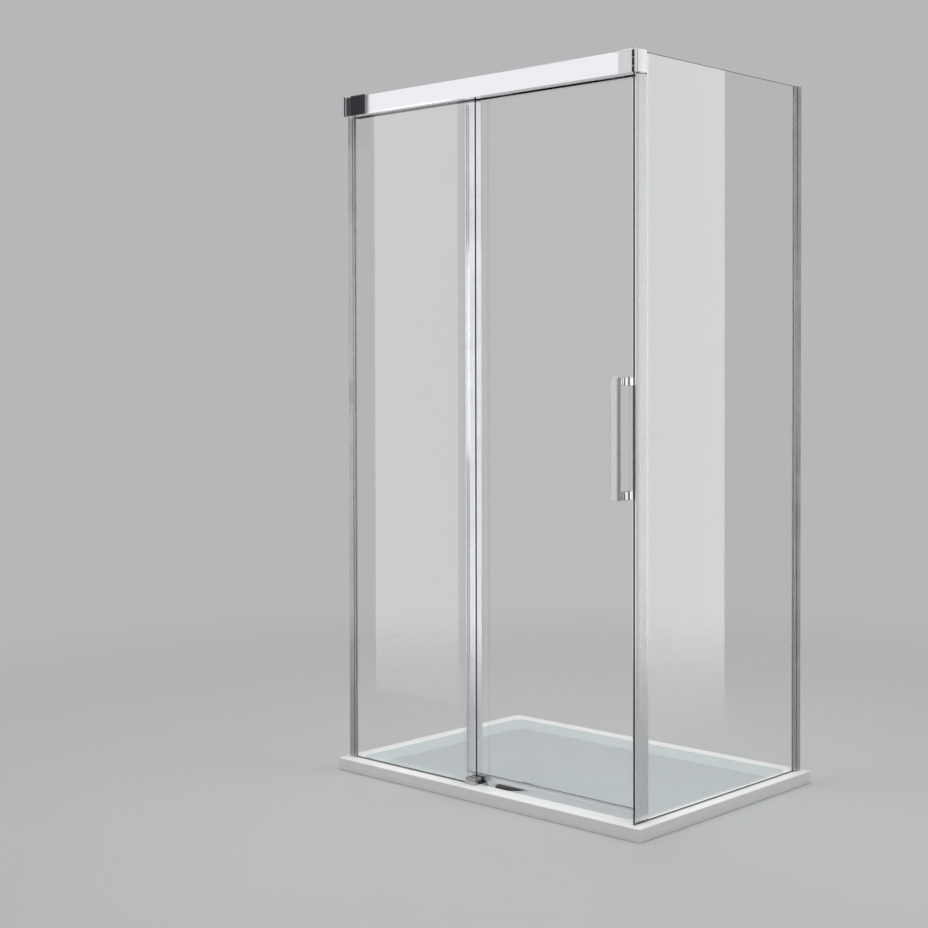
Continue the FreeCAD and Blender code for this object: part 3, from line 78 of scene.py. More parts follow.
# The studio: its tones, its floor and where its lamps stand
BACKDROP = (0.47, 0.475, 0.48, 1.0)
ROOM_LIGHT = (0.985, 0.99, 1.0, 1.0)
ROOM_STRENGTH = 0.25
FLOOR_COLOUR = (0.47, 0.475, 0.48)
FLOOR_ROUGHNESS = 0.5
FLOOR_REACH = 4.0
FLOOR_FADE_START = 0.9
FLOOR_FADE_END = 3.6
FLOOR_SIDES = 96
FRONT_LAMPS_Y = -5.4
BAND_LEFT = -5.70
BAND_RIGHT = -4.86
FILL_RIGHT = -2.6
RAIL_LAMP_LEFT = -5.715
RAIL_LAMP_FOOT = 3.04
RAIL_LAMP_TOP = 4.4
LAMP_FOOT = -1.2
BOARD_LEFT = -6.5
BOARD_AHEAD = 0.02
BOARD_FOOT = 2.8
BOARD_COLOUR = (0.148, 0.14, 0.157, 1.0)
BOARD_ROUGHNESS = 0.9
SIDE_LAMPS_X = 4.2
CAP_LAMP_START = 4.3
SIDE_BAND_START = 4.61
SIDE_BAND_END = 5.47
SIDE_BAND_TOP = 3.5
STRIKE_LAMP_START = 4.47
HANDLE_LAMP_START = 4.2
HANDLE_LAMP_FOOT = -0.2
HANDLE_LAMP_TOP = 2.0
CAP_LAMP_FOOT = 3.0
BAND_RADIANCE = 1.6
FILL_RADIANCE = 0.44
RAIL_RADIANCE = 0.45
CAP_RADIANCE = 0.52
HANDLE_RADIANCE = 0.5
STRIKE_RADIANCE = 0.8
LAMP_SHARE = math.pi / 4
MIRRORED_DEPTH = 0.5
TOP_LAMP_PLACE = (0.2, -0.3, 5.2)
TOP_LAMP_TARGET = (0.0, 0.0, 0.0)
TOP_LAMP_SIZE = 4.4
TOP_LAMP_RADIANCE = 4.2
VIEW_LAMP_PLACE = (3.35, -4.08, 1.25)
VIEW_LAMP_TARGET = (0.3, -0.2, 1.0)
VIEW_LAMP_SIZE = 1.2
VIEW_LAMP_RADIANCE = 1.4
KEY_PLACE = (4.6, 1.0, 2.8)
KEY_TARGET = (0.4, 0.0, 0.6)
KEY_SIZE = 2.2
KEY_RADIANCE = 0.7

# The tray's outline and its levels
TRAY_HALF_WIDTH = 0.55
TRAY_HALF_DEPTH = 0.4
TRAY_RIM = 0.035
TRAY_CORNER = 0.006
TRAY_EDGE = 0.0025
TRAY_FOOT_EDGE = 0.001
MOUTH_LEFT = -0.51
MOUTH_RIGHT = 0.498
MOUTH_FRONT = -0.345
MOUTH_BACK = 0.36
BASIN_CORNER = 0.035
MOUTH_EDGE = 0.0012
STEP_RUN = 0.001
STEP_DROP = 0.002
COVE_RUN = 0.06
COVE_RUN_NEAR = 0.014
COVE_EASE = 0.12
BASIN_DEPTH = 0.014
FLOOR_LEVEL = 0.018
WASTE_Y = -0.24
FALL_REACH = 0.08
FALL_CORNER = 0.04
RECESS_RADIUS = 0.06
RECESS_LEVEL = 0.010
HOLE_RADIUS = 0.045
LANDING_MARGIN = 0.003
LANDING_SINK = 0.006
LANDING_GAP = 0.0001
LANDING_EDGE = 0.002
LANDING_CUTS = 3
CORNER_CUTS = 12
SIDE_CUTS = 14
EDGE_CUTS = 5
COVE_CUTS = 24

# The tray's white, warmer on the rim and outside; the slope and the floor of its basin carry painted shade,
# darker and cooler, standing in for the dark room they reflect
RIM_WHITE_LOW = (0.89, 0.873, 0.863)
RIM_WHITE_HIGH = (0.92, 0.903, 0.893)
SLOPE_PAINTED_SHADE_LOW = (0.52, 0.56, 0.57)
SLOPE_PAINTED_SHADE_HIGH = (0.555, 0.597, 0.607)
BASIN_PAINTED_SHADE_LOW = (0.44, 0.472, 0.482)
BASIN_PAINTED_SHADE_HIGH = (0.475, 0.508, 0.518)
TONE_EDGE = 0.0008

# The other finishes: how fine their patterns are, how deep and how glossy
EVEN = (1, 1, 1)
PLAIN_SCALE = 1.0
SMUDGE_DETAIL = 4.0
SMUDGE_ROUGHNESS = 0.6
LINE_DETAIL = 2.0
LINE_STRENGTH = 0.015
BRUSH_DETAIL = 5.0
BRUSH_ROUGHNESS = 0.65
BRUSH_STRENGTH = 0.06
METAL_RELIEF = 0.0002
MOTTLE_SCALE = 9.0
MOTTLE_DETAIL = 4.0
MOTTLE_ROUGHNESS = 0.55
GRAIN_DETAIL = 2.0
GRAIN_RELIEF = 0.0003
TRAY_GLOSS = (0.07, 0.14)
TRAY_GRAIN = 260.0
TRAY_GRAIN_STRENGTH = 0.01
GLASS_WHITE = (1.0, 1.0, 1.0, 1.0)
GLASS_INDEX = 1.52
GLASS_DEPTH_COLOUR = (0.55, 0.66, 0.63, 1.0)
GLASS_DENSITY = 12.0
GLASS_TINT = (0.965, 0.975, 0.972, 1.0)
FILM_STRETCH = (1, 1, 0.35)
FILM_SCALE = 5.0
FILM_GLOSS = (0.0, 0.004)
MOULDED_SHINE = 0.5
VINYL_ALPHA = 0.05
VINYL_STRETCH = (30, 30, 30)
VINYL_LOW = (0.70, 0.72, 0.73)
VINYL_HIGH = (0.80, 0.82, 0.83)
VINYL_GLOSS = (0.12, 0.3)
VINYL_STRENGTH = 0.05

# The waste cover
COVER_RADIUS = 0.055
COVER_CROWN = 0.002
COVER_EDGE = 0.0006
COVER_RING = 0.047
COVER_RING_HALF = 0.0008
COVER_RING_DEPTH = 0.0005
COVER_TURNS = 72
COVER_UNDER = 0.0015
COVER_STEPS = 5
COVER_FEET = 3
COVER_FOOT_RADIUS = 0.003
COVER_FOOT_TIP = 0.0024
COVER_FOOT_CIRCLE = 0.0495
COVER_FOOT_SINK = 0.0003

# Screws: a head slightly drawn in at its crown, with a hexagon recess
CROWN_SHARE = 0.86
RECESS_SHARE = 0.52
RECESS_DEPTH_SHARE = 0.6
HEAD_MARGIN = 1.08
HEAD_SIDES = 28
SHANK_SIDES = 14
HEXAGON = 6

# Edges: how much of each is eased, and how far the glass keeps clear of what holds it
RAIL_EDGE = 0.0005
PLATED_EDGE = 0.0006
BAR_EDGE = 0.0008
PROFILE_EDGE = 0.0003
SOFT_CUTS = 2
ROUND_PROFILE = 0.5
GLASS_ARRIS = 0.0005
GLASS_RELIEF = 0.0003

# The strike's front lip, which leans away from the glass
LIP_WIDTH = 0.014
LIP_DROP = 0.0016
LIP_NEAR = 0.0001

# Working values: turns, merging, shading and mixing
AXES = range(3)
HALF = 0.5
QUARTER = 90
MATRIX_SIZE = 4
WELD = 0.00001
FLAT_ANGLE = math.radians(0.6)
SHARP_ANGLE = math.radians(28)
LARGE_SHARE = 0.5
ROUND_WEIGHT = 80
FACE_ON = 0.999
NOISE_DETAIL = 3.0
NOISE_ROUGHNESS = 0.5
NOISE_LOW = 0.3
NOISE_HIGH = 0.7
MIX_FIRST = 6
MIX_SECOND = 7
MIX_RESULT = 2


# Materials

def fresh_material(name):
    """A material with an empty tree, its output and one Principled shader."""
    made = bpy.data.materials.new(name)
    made.use_nodes = True
    tree = made.node_tree
    tree.nodes.clear()
    output = tree.nodes.new("ShaderNodeOutputMaterial")
    shader = tree.nodes.new("ShaderNodeBsdfPrincipled")
    tree.links.new(shader.outputs["BSDF"], output.inputs["Surface"])
    return made, tree, shader, output


def object_place(tree, scale):
    """Object coordinates, stretched by scale along each axis."""
    place = tree.nodes.new("ShaderNodeTexCoord")
    mapping = tree.nodes.new("ShaderNodeMapping")
    mapping.inputs["Scale"].default_value = scale
    tree.links.new(place.outputs["Object"], mapping.inputs["Vector"])
    return mapping.outputs["Vector"]


def noise(tree, place, scale, detail=NOISE_DETAIL, roughness=NOISE_ROUGHNESS):
    """A soft random value that changes from place to place."""
    made = tree.nodes.new("ShaderNodeTexNoise")
    made.inputs["Scale"].default_value = scale
    made.inputs["Detail"].default_value = detail
    made.inputs["Roughness"].default_value = roughness
    tree.links.new(place, made.inputs["Vector"])
    return made.outputs["Fac"]


def between(tree, value, low, high):
    """Spreads a noise value over the range from low to high."""
    spread = tree.nodes.new("ShaderNodeMapRange")
    spread.inputs["From Min"].default_value = NOISE_LOW
    spread.inputs["From Max"].default_value = NOISE_HIGH
    spread.inputs["To Min"].default_value = low
    spread.inputs["To Max"].default_value = high
    tree.links.new(value, spread.inputs["Value"])
    return spread.outputs["Result"]


def two_colours(tree, value, first, second):
    """A colour between two, by a value."""
    mix = tree.nodes.new("ShaderNodeMix")
    mix.data_type = "RGBA"
    mix.inputs[MIX_FIRST].default_value = (*first, 1.0)
    mix.inputs[MIX_SECOND].default_value = (*second, 1.0)
    tree.links.new(value, mix.inputs["Factor"])
    return mix.outputs[MIX_RESULT]


def bumped(tree, shader, height, strength, distance):
    """Gives a shader a fine relief from a height."""
    bump = tree.nodes.new("ShaderNodeBump")
    bump.inputs["Strength"].default_value = strength
    bump.inputs["Distance"].default_value = distance
    tree.links.new(height, bump.inputs["Height"])
    tree.links.new(bump.outputs["Normal"], shader.inputs["Normal"])


def calculated(tree, operation, first, second):
    """The result of one sum on two sockets or numbers."""
    made = tree.nodes.new("ShaderNodeMath")
    made.operation = operation
    for socket, value in zip(made.inputs, (first, second)):
        if isinstance(value, (int, float)):
            socket.default_value = value
        else:
            tree.links.new(value, socket)
    return made.outputs["Value"]


def mixed_surface(tree, share, first, second, output):
    """Two shaders mixed by a share, as the surface."""
    mix = tree.nodes.new("ShaderNodeMixShader")
    tree.links.new(share, mix.inputs["Fac"])
    tree.links.new(first, mix.inputs[1])
    tree.links.new(second, mix.inputs[2])
    tree.links.new(mix.outputs["Shader"], output.inputs["Surface"])


def polished_metal(name, dark, light, gloss, streaks, smudges):
    """Plated or polished metal: faint drawing lines along the piece and soft smudges in its gloss."""
    made, tree, shader, output = fresh_material(name)
    shader.inputs["Metallic"].default_value = 1.0
    smudge = noise(tree, object_place(tree, EVEN), smudges, SMUDGE_DETAIL, SMUDGE_ROUGHNESS)
    lines = noise(tree, object_place(tree, streaks), PLAIN_SCALE, LINE_DETAIL)
    tree.links.new(two_colours(tree, smudge, dark, light), shader.inputs["Base Color"])
    tree.links.new(between(tree, smudge, *gloss), shader.inputs["Roughness"])
    bumped(tree, shader, lines, LINE_STRENGTH, METAL_RELIEF)
    return made


def brushed_metal(name, dark, light, gloss, streaks):
    """Satin metal with fine brushing that runs along the piece."""
    made, tree, shader, output = fresh_material(name)
    shader.inputs["Metallic"].default_value = 1.0
    brushing = noise(tree, object_place(tree, streaks), PLAIN_SCALE, BRUSH_DETAIL, BRUSH_ROUGHNESS)
    tree.links.new(two_colours(tree, brushing, dark, light), shader.inputs["Base Color"])
    tree.links.new(between(tree, brushing, *gloss), shader.inputs["Roughness"])
    bumped(tree, shader, brushing, BRUSH_STRENGTH, METAL_RELIEF)
    return made


def moulded(name, dark, light, gloss, grain, strength, shine=MOULDED_SHINE):
    """Rubber, nylon, black plate or ground glass: a little mottling in colour and gloss over a fine grain."""
    made, tree, shader, output = fresh_material(name)
    place = object_place(tree, EVEN)
    mottle = noise(tree, place, MOTTLE_SCALE, MOTTLE_DETAIL, MOTTLE_ROUGHNESS)
    shader.inputs["Specular IOR Level"].default_value = shine
    tree.links.new(two_colours(tree, mottle, dark, light), shader.inputs["Base Color"])
    tree.links.new(between(tree, mottle, *gloss), shader.inputs["Roughness"])
    bumped(tree, shader, noise(tree, place, grain, GRAIN_DETAIL), strength, GRAIN_RELIEF)
    return made


def tray_acrylic():
    """Gloss white acrylic: a warm white rim, then painted shade on the slope and floor, darker and cooler,
    with faint mottling.
    """
    made, tree, shader, output = fresh_material("gloss_white_acrylic")
    place = object_place(tree, EVEN)
    mottle = noise(tree, place, MOTTLE_SCALE, MOTTLE_DETAIL, MOTTLE_ROUGHNESS)
    parts = tree.nodes.new("ShaderNodeSeparateXYZ")
    tree.links.new(place, parts.inputs["Vector"])
    tone = two_colours(tree, mottle, RIM_WHITE_LOW, RIM_WHITE_HIGH)
    floor_edge = TRAY_RIM - BASIN_DEPTH + TONE_EDGE
    # Painted shade: below the rim the slope, then the basin floor, turn darker and cooler in two steps
    for level, first, second in ((TRAY_RIM, SLOPE_PAINTED_SHADE_LOW, SLOPE_PAINTED_SHADE_HIGH),
                                 (floor_edge, BASIN_PAINTED_SHADE_LOW, BASIN_PAINTED_SHADE_HIGH)):
        mix = tree.nodes.new("ShaderNodeMix")
        mix.data_type = "RGBA"
        tree.links.new(basin_shade_below(tree, parts, level), mix.inputs["Factor"])
        tree.links.new(tone, mix.inputs[MIX_FIRST])
        tree.links.new(two_colours(tree, mottle, first, second), mix.inputs[MIX_SECOND])
        tone = mix.outputs[MIX_RESULT]
    tree.links.new(tone, shader.inputs["Base Color"])
    tree.links.new(between(tree, mottle, *TRAY_GLOSS), shader.inputs["Roughness"])
    bumped(tree, shader, noise(tree, place, TRAY_GRAIN, GRAIN_DETAIL), TRAY_GRAIN_STRENGTH, GRAIN_RELIEF)
    return made


def basin_shade_below(tree, parts, level):
    """The mask of the painted shade: one in the basin below a level, nothing above it and outside the mouth.
    """
    depth = tree.nodes.new("ShaderNodeMapRange")
    depth.interpolation_type = "SMOOTHSTEP"
    depth.inputs["From Min"].default_value = level
    depth.inputs["From Max"].default_value = level - TONE_EDGE
    tree.links.new(parts.outputs["Z"], depth.inputs["Value"])
    inside = depth.outputs["Result"]
    middle_x = (MOUTH_LEFT + MOUTH_RIGHT) / 2
    middle_y = (MOUTH_FRONT + MOUTH_BACK) / 2
    spans = (("X", middle_x, MOUTH_RIGHT - middle_x), ("Y", middle_y, MOUTH_BACK - middle_y))
    for axis, middle, reach in spans:
        offset = calculated(tree, "SUBTRACT", parts.outputs[axis], middle)
        away = calculated(tree, "ABSOLUTE", offset, 0.0)
        within = calculated(tree, "LESS_THAN", away, reach)
        inside = calculated(tree, "MULTIPLY", inside, within)
    return inside


def lets_lamps_through(tree, shader, output, colour):
    """Clear pieces pass the lamps' light straight on, in their own tint."""
    paths = tree.nodes.new("ShaderNodeLightPath")
    clear = tree.nodes.new("ShaderNodeBsdfTransparent")
    clear.inputs["Color"].default_value = colour
    mixed_surface(tree, paths.outputs["Is Shadow Ray"], shader.outputs["BSDF"], clear.outputs["BSDF"], output)


def toughened_glass():
    """Clear glass that shows its tint only in its depth."""
    made, tree, shader, output = fresh_material("toughened_glass")
    shader.inputs["Base Color"].default_value = GLASS_WHITE
    shader.inputs["Transmission Weight"].default_value = 1.0
    shader.inputs["IOR"].default_value = GLASS_INDEX
    film = noise(tree, object_place(tree, FILM_STRETCH), FILM_SCALE)
    tree.links.new(between(tree, film, *FILM_GLOSS), shader.inputs["Roughness"])
    depth = tree.nodes.new("ShaderNodeVolumeAbsorption")
    depth.inputs["Color"].default_value = GLASS_DEPTH_COLOUR
    depth.inputs["Density"].default_value = GLASS_DENSITY
    tree.links.new(depth.outputs["Volume"], output.inputs["Volume"])
    lets_lamps_through(tree, shader, output, GLASS_TINT)
    return made


def clear_vinyl():
    """The soft clear seals: thin, slightly milky, with a faint drawn texture along their length."""
    made, tree, shader, output = fresh_material("clear_vinyl")
    shader.inputs["Alpha"].default_value = VINYL_ALPHA
    haze = noise(tree, object_place(tree, VINYL_STRETCH), PLAIN_SCALE)
    tree.links.new(two_colours(tree, haze, VINYL_LOW, VINYL_HIGH), shader.inputs["Base Color"])
    tree.links.new(between(tree, haze, *VINYL_GLOSS), shader.inputs["Roughness"])
    bumped(tree, shader, haze, VINYL_STRENGTH, GRAIN_RELIEF)
    return made


finishes = {
    "tray_white": tray_acrylic(),
    "waste_black": moulded("black_plate", dark=(0.010, 0.010, 0.011), light=(0.018, 0.018, 0.020),
                           gloss=(0.3, 0.4), grain=300.0, strength=0.02, shine=0.06),
    "rail": polished_metal("polished_rail", dark=(0.90, 0.90, 0.925), light=(0.94, 0.94, 0.96),
                           gloss=(0.012, 0.025), streaks=(4, 700, 700), smudges=6.0),
    "sleeve": polished_metal("sleeve_chrome", dark=(0.64, 0.645, 0.65), light=(0.70, 0.705, 0.71),
                             gloss=(0.04, 0.10), streaks=(90, 90, 90), smudges=14.0),
    # Painted shade: a darker copy of the sleeve chrome, for the rail's sleeve and bracket at the wall
    "shaded_end_sleeve": polished_metal("end_sleeve_shaded_chrome", dark=(0.55, 0.55, 0.56), light=(0.62, 0.62, 0.63),
                                  gloss=(0.015, 0.03), streaks=(90, 90, 90), smudges=14.0),
    "chrome": polished_metal("bright_chrome", dark=(0.80, 0.81, 0.82), light=(0.87, 0.875, 0.88),
                             gloss=(0.02, 0.07), streaks=(90, 90, 90), smudges=14.0),
    "guide_chrome": polished_metal("guide_chrome", dark=(0.42, 0.425, 0.43), light=(0.50, 0.505, 0.51),
                                   gloss=(0.03, 0.08), streaks=(90, 90, 90), smudges=14.0),
    "satin_metal": brushed_metal("satin_bar", dark=(0.68, 0.66, 0.64), light=(0.78, 0.765, 0.75),
                                 gloss=(0.26, 0.38), streaks=(900, 900, 6)),
    "silver_upright": polished_metal("silver_upright", dark=(0.82, 0.83, 0.85), light=(0.90, 0.905, 0.92),
                                     gloss=(0.06, 0.11), streaks=(300, 300, 3), smudges=10.0),
    # Painted shade: a darker copy of the profiles' silver, for the wall channels and their cap
    "shaded_silver_wall": polished_metal("shaded_silver_wall", dark=(0.42, 0.42, 0.43), light=(0.50, 0.50, 0.51),
                                  gloss=(0.12, 0.2), streaks=(300, 300, 3), smudges=10.0),
    # Painted shade and painted reflection: a darker, bluish copy of the profiles' silver, for the pieces that
    # lie flat
    "shaded_silver_sill": brushed_metal("shaded_silver_sill", dark=(0.52, 0.54, 0.59), light=(0.64, 0.66, 0.70),
                                 gloss=(0.14, 0.26), streaks=(3, 900, 900)),
    "silver_strike": brushed_metal("silver_strike", dark=(0.72, 0.725, 0.735), light=(0.79, 0.795, 0.80),
                                   gloss=(0.2, 0.32), streaks=(900, 900, 3)),
    "clear_glass": toughened_glass(),
    "glass_edge": moulded("ground_glass_edge", dark=(0.014, 0.022, 0.020), light=(0.026, 0.038, 0.034),
                          gloss=(0.14, 0.3), grain=500.0, strength=0.05),
    "clear_seal": clear_vinyl(),
    "grey_seal": moulded("grey_gasket", dark=(0.045, 0.046, 0.048), light=(0.07, 0.071, 0.073),
                         gloss=(0.45, 0.65), grain=800.0, strength=0.2),
    "pale_gasket": moulded("pale_gasket", dark=(0.46, 0.47, 0.48), light=(0.52, 0.53, 0.54),
                           gloss=(0.35, 0.5), grain=800.0, strength=0.1),
    "sill_seal": moulded("sill_seal", dark=(0.26, 0.265, 0.27), light=(0.32, 0.325, 0.33),
                         gloss=(0.4, 0.55), grain=800.0, strength=0.1),
    "magnet_strip": moulded("magnet_strip", dark=(0.56, 0.565, 0.57), light=(0.62, 0.625, 0.63),
                            gloss=(0.35, 0.5), grain=700.0, strength=0.15),
    "zinc_steel": polished_metal("zinc_steel", dark=(0.56, 0.57, 0.58), light=(0.68, 0.685, 0.69),
                                 gloss=(0.22, 0.34), streaks=(160, 160, 160), smudges=40.0),
    "white_nylon": moulded("white_nylon", dark=(0.76, 0.76, 0.74), light=(0.82, 0.82, 0.80),
                           gloss=(0.3, 0.42), grain=600.0, strength=0.1),
    "black_nylon": moulded("black_nylon", dark=(0.010, 0.010, 0.011), light=(0.020, 0.020, 0.022),
                           gloss=(0.3, 0.45), grain=600.0, strength=0.1),
}


# Pieces

def new_piece(name, mesh, node, finish):
    """A finished piece at the origin that stands for a CAD node and moves with that node's body."""
    piece = bpy.data.objects.new(name, mesh)
    scene.collection.objects.link(piece)
    mesh.materials.clear()
    mesh.materials.append(finishes[finish])
    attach(piece, frame["nodes"][node]["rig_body"])
    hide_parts(node)
    return piece


def mesh_of(name, shape):
    """A shape as a plain mesh of its own."""
    mesh = bpy.data.meshes.new(name)
    shape.to_mesh(mesh)
    shape.free()
    return mesh


def weighed_normals(name, mesh):
    """Smooth shading in which the large flat faces stay flat."""
    for face in mesh.polygons:
        face.use_smooth = True
    holder = bpy.data.objects.new(name, mesh)
    scene.collection.objects.link(holder)
    holder.modifiers.new("weighed", "WEIGHTED_NORMAL").weight = ROUND_WEIGHT
    graph = bpy.context.evaluated_depsgraph_get()
    finished = bpy.data.meshes.new_from_object(holder.evaluated_get(graph))
    finished.name = name
    bpy.data.objects.remove(holder)
    return finished


def even_normals(mesh):
    """Smooth shading in which each corner follows the largest faces round it: flat faces stay flat."""
    around = [[] for corner in mesh.vertices]
    for face in mesh.polygons:
        face.use_smooth = True
        for corner in face.vertices:
            around[corner].append(face)
    normals = []
    for faces in around:
        largest = max((face.area for face in faces), default=0.0)
        normal = Vector()
        for face in faces:
            if face.area > largest * LARGE_SHARE:
                normal += face.normal
        normals.append(normal.normalized())
    mesh.normals_split_custom_set_from_vertices(normals)


def welded_copy(node):
    """A CAD node's triangles as one closed mesh with its flat faces whole."""
    source = frame["nodes"][node].data
    shape = bmesh.new()
    corners = [shape.verts.new(vertex.co) for vertex in source.vertices]
    shape.verts.ensure_lookup_table()
    for face in source.polygons:
        try:
            shape.faces.new([corners[index] for index in face.vertices])
        except ValueError:
            continue
    bmesh.ops.remove_doubles(shape, verts=shape.verts, dist=WELD)
    bmesh.ops.dissolve_limit(shape, angle_limit=FLAT_ANGLE, verts=shape.verts, edges=shape.edges)
    return shape


def eased_edges(shape, edge, cuts):
    """Rounds every sharp edge of a shape."""
    sharp = [line for line in shape.edges if line.is_manifold and line.calc_face_angle(0.0) > SHARP_ANGLE]
    bmesh.ops.bevel(shape, geom=sharp, offset=edge, segments=cuts, profile=ROUND_PROFILE,
                    affect="EDGES", clamp_overlap=True)


def softened(node, finish, edge, shape=None):
    """A CAD node's own shape, or one made from it, with eased edges as on extruded and plated pieces."""
    shape = shape or welded_copy(node)
    eased_edges(shape, edge, SOFT_CUTS)
    name = node + "_finished"
    mesh = mesh_of(name, shape)
    even_normals(mesh)
    new_piece(name, mesh, node, finish)


def make_strike():
    """The strike with a front lip that leans away from the glass."""
    shape = welded_copy("strike_profile")
    low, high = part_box("strike_profile")
    whole = shape.verts[:] + shape.edges[:] + shape.faces[:]
    bmesh.ops.bisect_plane(shape, geom=whole, dist=WELD, plane_co=(0, low.y + LIP_WIDTH, 0),
                           plane_no=(0, 1, 0))
    for corner in shape.verts:
        if corner.co.y < low.y + LIP_NEAR and corner.co.x > high.x - LIP_NEAR:
            corner.co.x -= LIP_DROP
    softened("strike_profile", "silver_strike", PROFILE_EDGE, shape)


def glass_pane(node):
    """A sheet of glass, just clear of what holds it, with a dark ground arris on every edge and hole."""
    shape = welded_copy(node)
    low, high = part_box(node)
    span = high - low
    middle = (low + high) / 2
    thin = min(AXES, key=lambda axis: span[axis])
    for corner in shape.verts:
        corner.co[thin] -= math.copysign(GLASS_RELIEF, corner.co[thin] - middle[thin])
    eased_edges(shape, GLASS_ARRIS, 1)
    rims = [abs(face.normal[thin]) < FACE_ON for face in shape.faces]
    mesh = mesh_of(node + "_pane", shape)
    new_piece(node + "_pane", mesh, node, "clear_glass")
    mesh.materials.append(finishes["glass_edge"])
    for face, rim in zip(mesh.polygons, rims):
        face.material_index = int(rim)


def closed_rings(name, rings, around, addition=None):
    """A closed skin through rings of equal counts; around joins the last ring to the first.

    An addition is a function that puts more faces into the skin's shape.
    """
    shape = bmesh.new()
    rows = [[shape.verts.new(point) for point in ring] for ring in rings]
    count = len(rows[0])
    pairs = list(zip(rows, rows[1:]))
    if around:
        pairs.append((rows[-1], rows[0]))
    for lower, upper in pairs:
        for index in range(count):
            after = (index + 1) % count
            shape.faces.new((lower[index], lower[after], upper[after], upper[index]))
    if addition:
        addition(shape)
    bmesh.ops.remove_doubles(shape, verts=shape.verts, dist=WELD)
    bmesh.ops.recalc_face_normals(shape, faces=shape.faces)
    return weighed_normals(name, mesh_of(name, shape))


def tray_ring(left, right, front, back, corner, level):
    """A rectangle with round corners, whose arcs and sides are always cut into the same counts."""
    corner = max(corner, WELD)
    middles = [(right - corner, back - corner), (left + corner, back - corner),
               (left + corner, front + corner), (right - corner, front + corner)]
    arcs = []
    for turn, (x, y) in enumerate(middles):
        arc = []
        for cut in range(CORNER_CUTS + 1):
            angle = math.radians(QUARTER * (turn + cut / CORNER_CUTS))
            arc.append(Vector((x + corner * math.cos(angle), y + corner * math.sin(angle), level)))
        arcs.append(arc)
    ring = []
    for turn, arc in enumerate(arcs):
        ring.extend(arc)
        start, end = arc[-1], arcs[(turn + 1) % len(arcs)][0]
        ring.extend(start.lerp(end, cut / SIDE_CUTS) for cut in range(1, SIDE_CUTS))
    return ring


def tray_outside(inset, level):
    """A ring of the tray's outside, drawn in by an inset."""
    return tray_ring(inset - TRAY_HALF_WIDTH, TRAY_HALF_WIDTH - inset, inset - TRAY_HALF_DEPTH,
                     TRAY_HALF_DEPTH - inset, TRAY_CORNER - inset, level)


def tray_mouth(run, near_run, level):
    """A ring of the basin; the slopes at the front and the right run in less than the others."""
    return tray_ring(MOUTH_LEFT + run, MOUTH_RIGHT - near_run, MOUTH_FRONT + near_run, MOUTH_BACK - run,
                     BASIN_CORNER, level)


def tray_round(radius, level):
    """A round ring about the waste."""
    return tray_ring(-radius, radius, WASTE_Y - radius, WASTE_Y + radius, radius, level)


def eased_slope(share):
    """How far down a straight slope with rounded ends is, at a share of its run."""
    steepness = 1 / (1 - COVE_EASE)
    if share < COVE_EASE:
        return steepness * share ** 2 / (2 * COVE_EASE)
    if share > 1 - COVE_EASE:
        return 1 - steepness * (1 - share) ** 2 / (2 * COVE_EASE)
    return steepness * (share - COVE_EASE / 2)


def guide_landing(shape):
    """A small landing moulded on the tray's slope, on which the back of the bottom guide stands."""
    low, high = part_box("bottom_guide")
    start = Vector((low.x - LANDING_MARGIN, MOUTH_FRONT - LANDING_SINK, RECESS_LEVEL))
    end = Vector((high.x + LANDING_MARGIN, high.y + LANDING_MARGIN, TRAY_RIM - LANDING_GAP))
    place = Matrix.Translation((start + end) / 2) @ Matrix.Diagonal((*(end - start), 1.0))
    corners = bmesh.ops.create_cube(shape, size=1.0, matrix=place)["verts"]
    lines = list({line for corner in corners for line in corner.link_edges})
    bmesh.ops.bevel(shape, geom=lines, offset=LANDING_EDGE, segments=LANDING_CUTS,
                    profile=ROUND_PROFILE, affect="EDGES")


def make_tray():
    """The low tray: rolled outer edge, flat rim, thin step, slope, falling floor and the waste's recess."""
    rings = [tray_outside(TRAY_FOOT_EDGE, 0.0), tray_outside(0.0, TRAY_FOOT_EDGE)]
    for cut in range(EDGE_CUTS + 1):
        angle = math.radians(QUARTER * cut / EDGE_CUTS)
        rings.append(tray_outside(TRAY_EDGE * (1 - math.cos(angle)),
                                  TRAY_RIM - TRAY_EDGE * (1 - math.sin(angle))))
    for cut in range(EDGE_CUTS + 1):
        angle = math.radians(QUARTER * cut / EDGE_CUTS)
        run = MOUTH_EDGE * (math.sin(angle) - 1)
        rings.append(tray_mouth(run, run, TRAY_RIM - MOUTH_EDGE * (1 - math.cos(angle))))
    for cut in range(COVE_CUTS + 1):
        share = cut / COVE_CUTS
        run = STEP_RUN + (COVE_RUN - STEP_RUN) * share
        near_run = STEP_RUN + (COVE_RUN_NEAR - STEP_RUN) * share
        drop = STEP_DROP + (BASIN_DEPTH - STEP_DROP) * eased_slope(share)
        rings.append(tray_mouth(run, near_run, TRAY_RIM - drop))
    rings.append(tray_ring(-FALL_REACH, FALL_REACH, WASTE_Y - RECESS_RADIUS, WASTE_Y + FALL_REACH,
                           FALL_CORNER, FLOOR_LEVEL))
    rings.append(tray_round(RECESS_RADIUS, FLOOR_LEVEL))
    rings.append(tray_round(RECESS_RADIUS, RECESS_LEVEL))
    rings.append(tray_round(HOLE_RADIUS, RECESS_LEVEL))
    rings.append(tray_round(HOLE_RADIUS, 0.0))
    mesh = closed_rings("tray_skin", rings, True, guide_landing)
    new_piece("tray_skin", mesh, "shower_tray", "tray_white")


def lathe_rings(profile, turns):
    """Rings about the waste's upright axis through points of radius and level."""
    rings = []
    for radius, level in profile:
        ring = []
        for turn in range(turns):
            angle = 2 * math.pi * turn / turns
            ring.append((radius * math.cos(angle), WASTE_Y + radius * math.sin(angle), level))
        rings.append(ring)
    return rings


